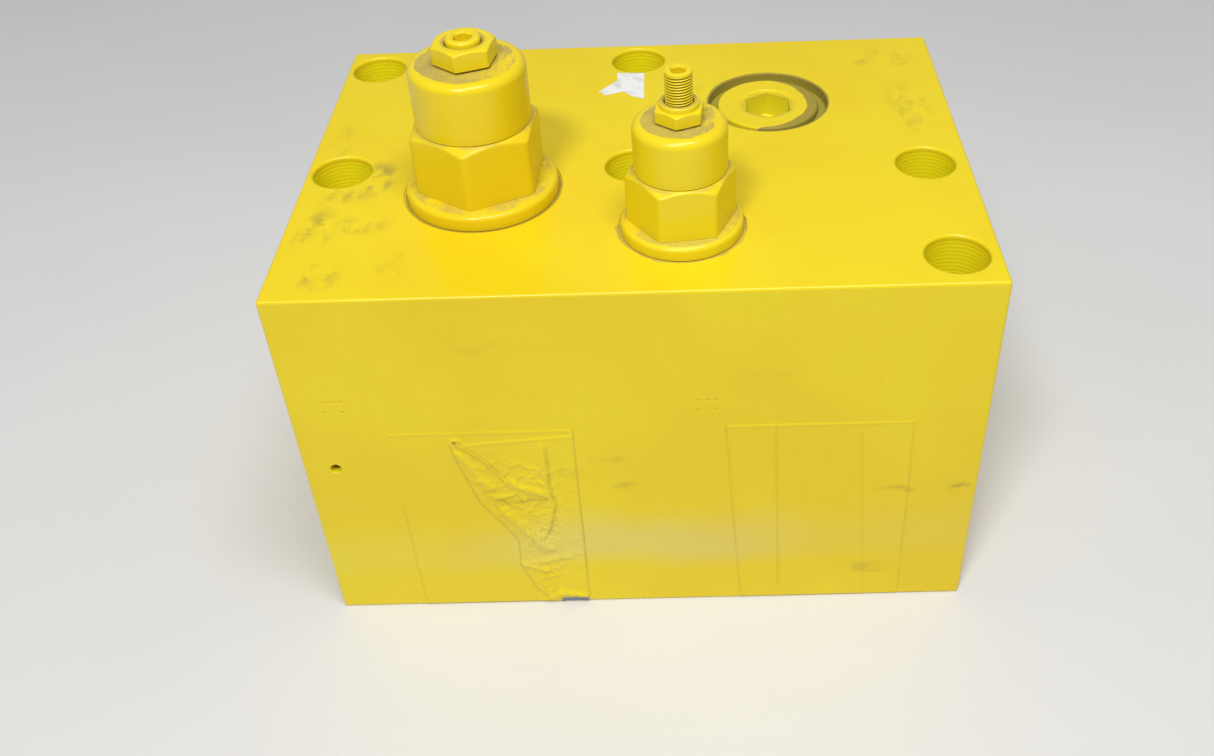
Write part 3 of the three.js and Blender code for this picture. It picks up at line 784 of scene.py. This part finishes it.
MAIN = SimpleNamespace(
    hex_af=54.4, turn=-4, inlet_r=8.2, nose_end=-104.5, nose_r=17, groove=(-96, -88.6),
    groove_r=14,
    neck_end=-79.7, neck_r=19, thread_end=-46, thread_r=23, underside=-0.7, flange_r=35.6,
    flange_top=5.9, flange_round=2.2, seat_r=31.6, hex_bottom=7.1, hex_top=37.2,
    cap_bore_r=17.3, cap_bore_end=13.4, spring_bore_r=13, spring_bore_end=-66, seat_bore_r=11,
    seat_end=-96,
)
MAIN_CAP = SimpleNamespace(
    bore_r=13, spigot_bottom=13.9, spigot_r=17, hex_top=37.2, cap_r=26.4,
    top=65.7, round=3.7, hole_r=8.15, ceiling=47.2,
)
MAIN_NUT = SimpleNamespace(
    af=26, turn=-9.5, hole_r=8.15, bottom=66.9, top=75.2, collar_r=0, collar_top=0,
)
SECONDARY = SimpleNamespace(
    hex_af=43.4, turn=-23.1, inlet_r=6, nose_end=-92.5, nose_r=13, groove=(-86, -79.8),
    groove_r=10.6, neck_end=-75.7, neck_r=14.5, thread_end=-44, thread_r=17.5,
    underside=-0.3, flange_r=27.6, flange_top=5.0, flange_round=2.0, seat_r=25.2,
    hex_bottom=6.5, hex_top=30.6, cap_bore_r=13.3, cap_bore_end=10.4, spring_bore_r=9.6,
    spring_bore_end=-66, seat_bore_r=8.5, seat_end=-88,
)
SECONDARY_CAP = SimpleNamespace(
    bore_r=9.6, spigot_bottom=10.9, spigot_r=13, hex_top=30.6, cap_r=20.7,
    top=53.6, round=3.7, hole_r=6.2, ceiling=41.6,
)
SECONDARY_NUT = SimpleNamespace(
    af=19.6, turn=-7.7, hole_r=6.2, bottom=54.65, top=60.3, collar_r=8.55, collar_top=62.8,
)


def add_cartridge(name, at, c, cap, nut, screw, seal):
    """A cartridge's visible pieces. seal is its washer, as (bottom, top, hole radius, outer radius)."""
    base = (at[0], at[1], TOP)
    hexes = [(c.hex_bottom - 0.05, c.hex_top + 0.01, c.hex_af, c.turn)]
    body_paint = paint(f"{name}_body_enamel", dust_and_shade=joined(
        between(TOP + c.hex_bottom - 0.7, TOP + c.hex_bottom + 0.3, 0.5),
        between(TOP + c.hex_top - 0.9, TOP + c.hex_top + 0.5, 0.4)))
    rings = turned_rings(hex_body_outline(c), 144, base, hexes)
    add_piece(f"{name}_body_shell", *rings_mesh(rings, closed=True), BODY, "yellow_paint",
              [f"{name}_cartridge_body"], body_paint)
    cap_paint = paint(f"{name}_cap_enamel", dust_and_shade=top_dust(at, cap.cap_r - 4.2, TOP + cap.top))
    rings = turned_rings(cap_outline(cap), 96, base)
    add_piece(f"{name}_cap_shell", *rings_mesh(rings, closed=True), BODY, "yellow_paint",
              [f"{name}_spring_cap"], cap_paint)
    # Dust and painted shadow on the nut's top round the screw.
    nut_paint = paint(f"{name}_nut_enamel", dust_and_shade=dirt_and_shade_ring(at, -5, screw.radius + 2.4, 0.6, 0.6))
    add_piece(f"{name}_nut_shell", *rings_mesh(nut_rings(nut, base), closed=True), f"{name}_nut_group",
              "yellow_paint", [f"{name}_lock_nut"], nut_paint)
    # Painted shade in the thread's grooves.
    screw_paint = paint(f"{name}_screw_enamel",
                        stain_and_shade=groove_shade(at, screw.radius, TOP + screw.threaded_to))
    add_piece(f"{name}_screw_shell", *screw_mesh(base, **vars(screw)), f"{name}_screw_group",
              "painted_screw", [f"{name}_adjusting_screw"], screw_paint, weighted=False)
    low, high, inner, outer = seal
    washer = turned_rings([(inner, low), (outer, low), (outer, high), (inner, high)], 96, base)
    add_piece(f"{name}_washer", *rings_mesh(washer, closed=True), f"{name}_nut_seal_group", "seal_washer",
              [f"{name}_nut_seal"], washer_look)


washer_look = plain_look("dusty_washer", (0.42, 0.34, 0.12, 1), 0.6, 0.0)
steel_look = plain_look("turned_steel", (0.55, 0.55, 0.53, 1), 0.35, 1.0)
spring_look = plain_look("spring_wire", (0.16, 0.16, 0.17, 1), 0.42, 1.0)
rubber_look = plain_look("black_rubber", (0.02, 0.02, 0.021, 1), 0.6, 0.0, 0.1, 900.0)
backup_look = plain_look("seal_plastic", (0.62, 0.56, 0.42, 1), 0.5, 0.0, 0.08)
plug_look = plain_look("plug_steel", (0.34, 0.33, 0.31, 1), 0.4, 1.0)

MAIN_SCREW = SimpleNamespace(
    radius=7.85, low=33.3, high=77.2, pitch=1.5, across_flats=8, depth=7, rim=1.6,
    threaded_to=74.2,
)
SECONDARY_SCREW = SimpleNamespace(
    radius=5.95, low=40.3, high=76.8, pitch=1.25, across_flats=6, depth=6, rim=0.9,
    threaded_to=75.7,
)
add_cartridge("main", MAIN_AT, MAIN, MAIN_CAP, MAIN_NUT, MAIN_SCREW, (65.95, 66.65, 8.15, 12.0))
add_cartridge("secondary", SECONDARY_AT, SECONDARY, SECONDARY_CAP, SECONDARY_NUT, SECONDARY_SCREW,
              (53.85, 54.4, 6.2, 9.4))


# ---- plugs, seals, tape and label ----

def plug_mesh():
    """The gallery plug: thread, collar with a turned rim, and a deep hexagon socket."""
    x, y = PLUG_AT
    outline = softened([
        (0, -23.4), (19.1, -23.4), (20.6, -21.9), (20.6, -5.1), (26, -5.1, 0.3), (26, -1.2, 1.3),
        (15.2, -1.2, 0.6), (14.6, -1.8)], steps=5)
    rings = turned_rings([tuple(p) for p in outline], 144)
    socket = socket_rings(22.6, -1.8, 12.4, 144, 14.4)
    return rings_mesh(shifted(rings + socket, (x, y, TOP)), closed=False)


def plug_socket_light(look):
    # Painted light deep in the plug's socket.
    return look.span(look.axes()[2], (TOP - 2.2) * MM, (TOP - 3.5) * MM)


# Painted light deep in the socket; the offset ring stains the collar's bare crescent, and the inner disc
# darkens the socket a little.
plug_paint = paint("plug_enamel", hollow_light=plug_socket_light, stain_and_shade=joined(
    dirt_and_shade_ring((PLUG_AT[0] - 5.5, PLUG_AT[1] + 0.5), 25.4, 34, 0.75, 0.8),
    dirt_and_shade_ring(PLUG_AT, -5, 14, 0.22, 0.5)))
add_piece("plug_shell", *plug_mesh(), BODY, "yellow_paint", ["gallery_plug"], plug_paint)


def side_plug_mesh(y, z, radius, socket_af):
    """A plug screwed in from the right face, with a hexagon socket."""
    corner = socket_af / math.sqrt(3)
    outline = softened([
        (0, 0), (radius, 0, 0.5), (radius, 13, 0.8), (corner + 0.6, 13), (corner + 0.3, 12.8)])
    rings = turned_rings([tuple(p) for p in outline], 72)
    rings += socket_rings(socket_af, 12.8, 6.8, 72, corner + 0.2)
    placed = [[(HALF_X - 14 + h, y + u, z + v) for u, v, h in ring] for ring in rings]
    return rings_mesh(placed, closed=False)


def foot_seal_mesh(at, ring_r=13.8, tube_r=1.1, height=1.15, corners=18):
    """A rubber ring round a passage in the bottom face."""
    angles = [math.radians(360 / corners * i) for i in range(corners)]
    tube = [(ring_r + tube_r * math.cos(a), height + tube_r * math.sin(a)) for a in angles]
    return rings_mesh(turned_rings(tube, 72, (*at, 0)), closed=True)


for plug_name, side_plug in SIDE_PLUGS.items():
    add_piece(f"{plug_name}_shell", *side_plug_mesh(*side_plug), BODY, "bare_steel", [plug_name], plug_look)

for seal_name, seal_at in FOOT_PORTS.items():
    add_piece(f"{seal_name}_ring", *foot_seal_mesh(seal_at), BODY, "seal_rubber", [seal_name], rubber_look)


def distance_to(path, x, z):
    """The distance from a point to a polyline, and which side of it the point is on."""
    best, side = 1e9, 1.0
    for (x0, z0), (x1, z1) in zip(path, path[1:]):
        dx, dz = x1 - x0, z1 - z0
        share = max(0.0, min(1.0, ((x - x0) * dx + (z - z0) * dz) / (dx * dx + dz * dz)))
        away = math.hypot(x - x0 - share * dx, z - z0 - share * dz)
        if away < best:
            best = away
            side = 1.0 if dx * (z - z0) - dz * (x - x0) > 0 else -1.0
    return best, side


def smooth(value, low, high):
    share = max(0.0, min(1.0, (value - low) / (high - low)))
    return share * share * (3 - 2 * share)


def ridge(x, z, path, width, height, lean=0.0):
    """A rounded ridge along a path. lean makes one side steep and the other long."""
    away, side = distance_to(path, x, z)
    reach = width * (1 + lean * side)
    return height * math.exp(-(away / max(reach, 0.05)) ** 2)


def line(path, x, z, width):
    """1 on a path, falling to 0 across a width."""
    return math.exp(-(distance_to(path, x, z)[0] / width) ** 2)


# Paths on the front face, as (x, z) points. The flap is the loose, crumpled half of the left tape.
FLAP_EDGE = [
    (-88.7, 113), (-84.1, 94), (-79, 75), (-71, 62.5), (-63, 48), (-63.7, 30), (-58, 12.5), (-50, 1),
]
FLAP_PLEAT = [(-86.7, 115.2), (-74.3, 103.5), (-67.7, 93.2), (-63.7, 87.5)]
FLAP_ROLL = [(-63.7, 87.5), (-56.8, 83.5), (-46.6, 79.5)]
FLAP_ROLL_SHADOW = [(-69.4, 78.2), (-65.8, 74.3), (-57.5, 75.9), (-46.6, 77)]
FLAP_BAND = [(-85.5, 108.4), (-77.1, 91.7), (-72.5, 85.9)]
FLAP_FACET = [(-71.4, 78.3), (-63.8, 79.9)]
FLAP_FOLD = [(-69.1, 68.6), (-62.1, 58.5), (-54.8, 48.1), (-49.9, 41.8)]
FLAP_UPRIGHT = [(-46.2, 110.6), (-46.1, 98), (-46.3, 81.2), (-44.3, 73.5), (-46.9, 59.9), (-49.6, 52)]
FLAP_FOOT = [(-62.9, 29.8), (-51.4, 25.1)]
FLAP_PATCH = [(-50.7, 32.5), (-39.2, 35.2)]
FLAP_HEM = [(-52, 2.3), (-45.7, 7), (-33, 4.9)]
SECOND_STRIP = [(-79.6, 113.5), (-63.9, 114.8), (-31, 117.2)]
KNOT = (-86.7, 115.2)
LEFT_TAPE_SIDE = [(-31.2, 121.5), (-31.6, 92), (-31.2, 67), (-31.3, 35), (-31.8, 1.5)]
LEFT_TAPE_FAR_SIDE = [(-117.0, 72), (-117.0, 38), (-116.2, 3.5)]
# (path, half width, height, lean): a ridge leans when one of its sides is steeper than the other.
FLAP_RIDGES = [
    (FLAP_PLEAT, 0.9, 0.9, 0.3), (FLAP_ROLL, 1.9, 1.4, 0.4), (FLAP_BAND, 2.3, 1.1, -0.4),
    (FLAP_FACET, 1.6, 1.0, 0.5), (FLAP_FOLD, 2.3, 1.3, 0.4), (FLAP_UPRIGHT, 1.5, 1.2, -0.5),
    (FLAP_FOOT, 1.7, 1.1, 0.4), (FLAP_PATCH, 2.0, 0.7, 0.3), (FLAP_HEM, 1.4, 0.9, 0.3),
    (FLAP_EDGE, 1.0, 0.3, 0.4),
]


def beside(path, x, z):
    """The distance from a point to a path, negative on the path's right-hand side."""
    away, side = distance_to(path, x, z)
    return away * side


def on_flap(x, z):
    """1 on the loose half of the left tape, 0 beside it."""
    inside = smooth(beside(FLAP_EDGE, x, z), -0.3, 0.4) if x < -45 else 1.0
    if x <= -88.5:
        return 0.0
    below_strip = smooth(-beside(SECOND_STRIP, x, z), -0.3, 0.3)
    return inside * below_strip * smooth(-x, 30.9, 31.5)


def left_tape_height(x, z):
    """How far the left tape stands off the front face, in millimetres."""
    inside = smooth(x, -117.2, -116.8) * smooth(-x, 31.0, 31.5) * smooth(-z, -121.6, -121.2)
    height = 0.2 * inside
    top_bead = math.exp(-((z - 120.4) / 0.5) ** 2)
    height += 0.25 * inside * max(line(LEFT_TAPE_SIDE, x + 0.8, z, 0.5), top_bead)
    height += 0.35 * inside * line(SECOND_STRIP, x, z, 0.6)
    flap = on_flap(x, z)
    if flap > 0:
        creases = 1 - abs(noise.fractal(Vector((x * 0.14, z * 0.12, 1.7)), 0.9, 2.1, 4)) * 1.6
        depth = smooth(abs(beside(FLAP_EDGE, x, z)), 0, 5) * smooth(118 - z, 0, 25)
        calm = 0.35 if x > -43 else 1.0
        height += flap * (0.2 + 0.7 * depth * calm * max(0.0, creases) ** 3)
    for path, width, peak, lean in FLAP_RIDGES:
        wander = 1 + 0.35 * noise.noise(Vector((x * 0.35, z * 0.35, peak * 9)))
        height += ridge(x, z, path, width * wander, peak * wander, lean)
    knot = math.hypot(x - KNOT[0], z - KNOT[1])
    height += 0.6 * math.exp(-((knot - 1.7) / 0.8) ** 2) - 0.5 * math.exp(-(knot / 0.9) ** 2)
    return min(max(height, 0.03), 1.7)


def left_tape_marks(x, z):
    """How dark the left tape's creases and edges are, as dirt and painted shadow below its folds, and whether
    the bare metal shows.
    """
    breaks = 0.6 + 0.4 * noise.noise(Vector((x * 0.5, z * 0.5, 4)))
    marks = [
        0.6 * line(FLAP_EDGE, x + 0.5, z, 0.5) * breaks, 0.7 * line(FLAP_ROLL_SHADOW, x, z, 1.1) * breaks,
        0.5 * line(FLAP_PLEAT, x - 0.9, z - 0.7, 0.4), 0.5 * line(FLAP_UPRIGHT, x - 1.6, z, 0.7) * breaks,
        0.5 * line(LEFT_TAPE_SIDE, x, z, 0.45) * breaks, 0.3 * line(LEFT_TAPE_FAR_SIDE, x, z, 0.4),
        0.12 * smooth(-abs(z - 121.3), -0.6, -0.2),
        math.exp(-(math.hypot(x - KNOT[0], z - KNOT[1]) / 1.1) ** 4),
    ]
    specks = noise.noise(Vector((x * 0.9, z * 0.9, 2)))
    marks.append(0.8 * smooth(specks, 0.42, 0.6) * math.exp(-(distance_to(FLAP_FOLD, x, z)[0] / 4) ** 2))
    torn = 4.0 + 0.8 * noise.noise(Vector((x * 0.4, 0, 1)))
    bare = smooth(x, -46.5, -45.5) * smooth(-x, 31.4, 32) * smooth(torn - z, 0, 0.6)
    return max(marks), bare


RIGHT_RIDGE = [(61.4, 121), (63, 70), (65.1, 10)]
RIGHT_LINE = [(102, 118), (106, 60), (110, 3)]
RIGHT_TAPE_SIDES = [[(39.4, 121), (43, 60), (46.9, 2)], [(125.8, 121), (127, 75), (128, 2)]]


def right_tape_height(x, z):
    """How far the right tape stands off the front face, in millimetres."""
    near, far = RIGHT_TAPE_SIDES
    inside = smooth(beside(near, x, z), -0.1, 0.4) * smooth(-beside(far, x, z), -0.1, 0.4)
    inside *= smooth(-z, -121.5, -121.1)
    height = inside * (0.18 + 0.04 * noise.noise(Vector((x * 0.12, z * 0.05, 9))))
    height -= 0.08 * inside * smooth(beside(RIGHT_LINE, x, z), -0.2, 0.3)
    height += 0.36 * inside * line(RIGHT_RIDGE, x, z, 0.8)
    bead = max(line(near, x - 0.7, z, 0.5), line(far, x + 0.7, z, 0.5), math.exp(-((z - 120.4) / 0.5) ** 2))
    height += 0.25 * inside * bead
    return min(max(height, 0.03), 0.55)


def right_tape_marks(x, z):
    """How dark the right tape's edges and ridge are, as dirt and painted shadow."""
    near, far = RIGHT_TAPE_SIDES
    breaks = 0.55 + 0.45 * noise.noise(Vector((x * 0.3, z * 0.12, 4)))
    return max(0.5 * line(near, x, z, 0.4) * breaks, 0.4 * line(far, x, z, 0.4) * breaks,
               0.25 * line(RIGHT_LINE, x, z, 0.4) * breaks, 0.2 * line(RIGHT_RIDGE, x - 1.2, z, 0.5)), 0.0


def add_tape(name, node, across, marks_at, height_at, step=0.6):
    """A closed thin sheet on the front face. height_at shapes its outside, marks_at gives its two masks."""
    low_x, high_x = across
    low_z, high_z = 1.3, 121.7
    columns = int((high_x - low_x) / step)
    rows = int((high_z - low_z) / step)
    width = columns + 1
    verts = []
    for j in range(rows + 1):
        for i in range(width):
            x = low_x + (high_x - low_x) * i / columns
            z = low_z + (high_z - low_z) * j / rows
            verts.append((x, -HALF_Y - 0.02 - height_at(x, z), z))
    faces = [(j * width + i, j * width + i + 1, (j + 1) * width + i + 1, (j + 1) * width + i)
             for j in range(rows) for i in range(columns)]
    border = list(range(columns)) + [width * j + columns for j in range(rows)]
    border += [rows * width + i for i in range(columns, 0, -1)] + [width * j for j in range(rows, 0, -1)]
    first = len(verts)
    verts += [(verts[i][0], -HALF_Y - 0.005, verts[i][2]) for i in border]
    count = len(border)
    for i in range(count):
        after = (i + 1) % count
        faces.append((border[i], first + i, first + after, border[after]))
    faces.append(tuple(first + i for i in range(count)))
    piece = add_piece(name, verts, faces, BODY, "painted_tape", [node], tape_paint, weighted=False)
    crease_dirt_and_shadow = piece.data.attributes.new("crease_dirt_and_shadow", "FLOAT", "POINT")
    bare = piece.data.attributes.new("bare", "FLOAT", "POINT")
    for i, vertex in enumerate(piece.data.vertices):
        crease_dirt_and_shadow.data[i].value, bare.data[i].value = marks_at(vertex.co.x / MM, vertex.co.z / MM)


# As on the block: scuffs, a painted reflection low on the front, and dirt and painted shadow in the creases.
tape_paint = paint("tape_enamel", scuff=block_scuffs, reflection_haze=front_reflection_haze, brushed=0.15, marks=True)
add_tape("left_tape_sheet", "left_port_tape", (-117.4, -30.8), left_tape_marks, left_tape_height)
add_tape("right_tape_sheet", "right_port_tape", (38.8, 128.6), right_tape_marks, right_tape_height)


def paper_look():
    look = Look("torn_paper")
    fibre = look.noise(220.0, 5.0)
    colour = look.mix(look.span(fibre, 0.4, 0.7), (0.86, 0.86, 0.83, 1), (0.66, 0.67, 0.66, 1))
    look.bumps([(fibre, 0.4, 0.1)])
    return look.finish(colour, 0.75)


def label_mesh():
    """The torn label: a thin flat sheet with a ragged outline."""
    corners = [(-11.2, 83), (3.3, 82.1), (3.5, 53.3), (-3.1, 56.5), (-7.7, 62), (-16.7, 58.3), (-20.4, 62.4),
               (-11, 74.2)]
    outline = []
    for (x0, y0), (x1, y1) in zip(corners, corners[1:] + corners[:1]):
        steps = max(2, int(math.hypot(x1 - x0, y1 - y0) / 1.2))
        torn = 0.0 if x0 > -12 and x1 > 3 else 0.45
        for i in range(steps):
            share = i / steps
            jag = torn * noise.noise(Vector((x0 + share * 9, y0 + share * 7, 5))) * 2
            outline.append((x0 + (x1 - x0) * share + jag, y0 + (y1 - y0) * share + jag))
    border = [(i, (i + 1) % len(outline)) for i in range(len(outline))]
    spots, _, faces, *_ = geometry.delaunay_2d_cdt([Vector(p) for p in outline], border, [], 1, 1e-7)
    verts = [(p.x, p.y, TOP + 0.07) for p in spots] + [(p.x, p.y, TOP + 0.3) for p in spots]
    count = len(spots)
    skin = [tuple(reversed(f)) for f in faces] + [tuple(count + i for i in f) for f in faces]
    edges = {}
    for face in faces:
        for a, b in zip(face, list(face[1:]) + [face[0]]):
            edges[(a, b)] = edges.get((a, b), 0) + 1
    rim = [(a, b) for (a, b) in edges if (b, a) not in edges]
    skin += [(a, b, count + b, count + a) for a, b in rim]
    return verts, skin


add_piece("label_scrap", *label_mesh(), BODY, "label_paper", ["label_remnant"], paper_look(), weighted=False)


# ---- what stays from the CAD, inside the valve ----

INSIDE_LOOKS = {
    "_valve_seat": steel_look, "_poppet": steel_look, "_plunger": steel_look,
    "_plunger_seal": rubber_look, "_body_seal": rubber_look, "_nose_seal": rubber_look,
    "_nose_backup_ring": backup_look, "gallery_plug_seal": rubber_look,
}
for node_name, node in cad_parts.items():
    for ending, look in INSIDE_LOOKS.items():
        if node_name.endswith(ending):
            node.data.materials.clear()
            node.data.materials.append(look)


def coil_height(coil, turn):
    """Height of the wire's middle above the spring's foot; the first and last turns are closed."""
    closed = 2 * coil.wire + 0.1
    pitch = (coil.top - coil.bottom - 2 * closed) / (coil.turns - 2)
    open_turns = min(max(turn - 1, 0), coil.turns - 2)
    return closed * (min(turn, 1) + max(turn - coil.turns + 1, 0)) + pitch * open_turns


def coil_mesh(at, coil, first, last, around=12, per_turn=32):
    """The part of a spring from one turn number to another, as rings along the wire."""
    steps = round((last - first) * per_turn)
    rings = []
    for i in range(steps + 1):
        turn = first + (last - first) * i / steps
        out = Vector((math.cos(2 * math.pi * turn), math.sin(2 * math.pi * turn), 0))
        height = TOP + coil.bottom + coil_height(coil, turn)
        middle = Vector((at[0], at[1], height)) + out * coil.radius
        if i == 0:
            rings.append([middle])
        corners = [2 * math.pi * k / around for k in range(around)]
        spokes = [out * math.cos(a) + Vector((0, 0, math.sin(a))) for a in corners]
        rings.append([middle + coil.wire * spoke for spoke in spokes])
    rings.append([middle])
    return rings_mesh(rings, closed=False)


def add_spring(name, at, coil, lower_share=0.3):
    """A spring as two coils: a short lower one and a longer upper one."""
    split = coil.turns * lower_share
    coils = []
    for part, first, last in (("lower", 0, split), ("upper", split, coil.turns)):
        coils.append(add_piece(f"{name}_spring_{part}", *coil_mesh(at, coil, first, last), None,
                               "spring_steel", [f"{name}_spring"], spring_look, weighted=False))
    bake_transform(coils[0])
    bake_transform(coils[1])


MAIN_SPRING = SimpleNamespace(radius=9.9, wire=1.9, turns=6.5, bottom=-23.5, top=17.9)
SECONDARY_SPRING = SimpleNamespace(radius=7.6, wire=1.3, turns=9.5, bottom=-24.9, top=28.0)
add_spring("main", MAIN_AT, MAIN_SPRING)
add_spring("secondary", SECONDARY_AT, SECONDARY_SPRING)


# ---- floor, lights and camera ----

def add_floor():
    half = 6.0
    mesh = bpy.data.meshes.new("floor")
    corners = [(-half, -half, 0), (half, -half, 0), (half, half, 0), (-half, half, 0)]
    mesh.from_pydata(corners, [], [(0, 1, 2, 3)])
    floor = bpy.data.objects.new("floor", mesh)
    bpy.context.scene.collection.objects.link(floor)
    look = Look("pale_floor")
    grain = look.noise(3.0, 3.0)
    colour = look.mix(look.span(grain, 0.3, 0.7), (0.74, 0.74, 0.74, 1), (0.77, 0.77, 0.77, 1))
    floor.data.materials.append(look.finish(colour, 0.8))


def add_light(name, at, aim, size, power):
    light = bpy.data.lights.new(name, "AREA")
    light.shape = "RECTANGLE"
    light.size, light.size_y = size
    light.energy = power
    holder = bpy.data.objects.new(name, light)
    bpy.context.scene.collection.objects.link(holder)
    holder.location = at
    holder.rotation_euler = (Vector(aim) - Vector(at)).to_track_quat("-Z", "Y").to_euler()


def add_world(strength):
    world = bpy.data.worlds.new("studio")
    world.use_nodes = True
    world.node_tree.nodes["Background"].inputs["Color"].default_value = (1, 1, 1, 1)
    world.node_tree.nodes["Background"].inputs["Strength"].default_value = strength
    bpy.context.scene.world = world


CAMERA_AT = (0.02165, -0.54580, 0.51452)
CAMERA_TURN = (49.980, 1.678, -0.345)


def add_camera():
    camera = bpy.data.cameras.new("camera")
    camera.sensor_width = 36
    camera.lens = 37.49
    camera.shift_x = -0.0502
    camera.shift_y = -0.0054
    camera.clip_start = 0.02
    holder = bpy.data.objects.new("camera", camera)
    bpy.context.scene.collection.objects.link(holder)
    holder.location = CAMERA_AT
    holder.rotation_euler = [math.radians(a) for a in CAMERA_TURN]
    bpy.context.scene.camera = holder


bpy.context.scene.view_settings.view_transform = "Standard"
add_floor()
add_world(0.30)
add_light("overhead", (0.25, -0.60, 1.85), (0, 0, 0.15), (0.8, 0.5), 15.5)
add_light("front_key", (-0.45, -1.3, 1.9), (0, -0.05, 0.15), (0.40, 0.30), 20)
add_camera()
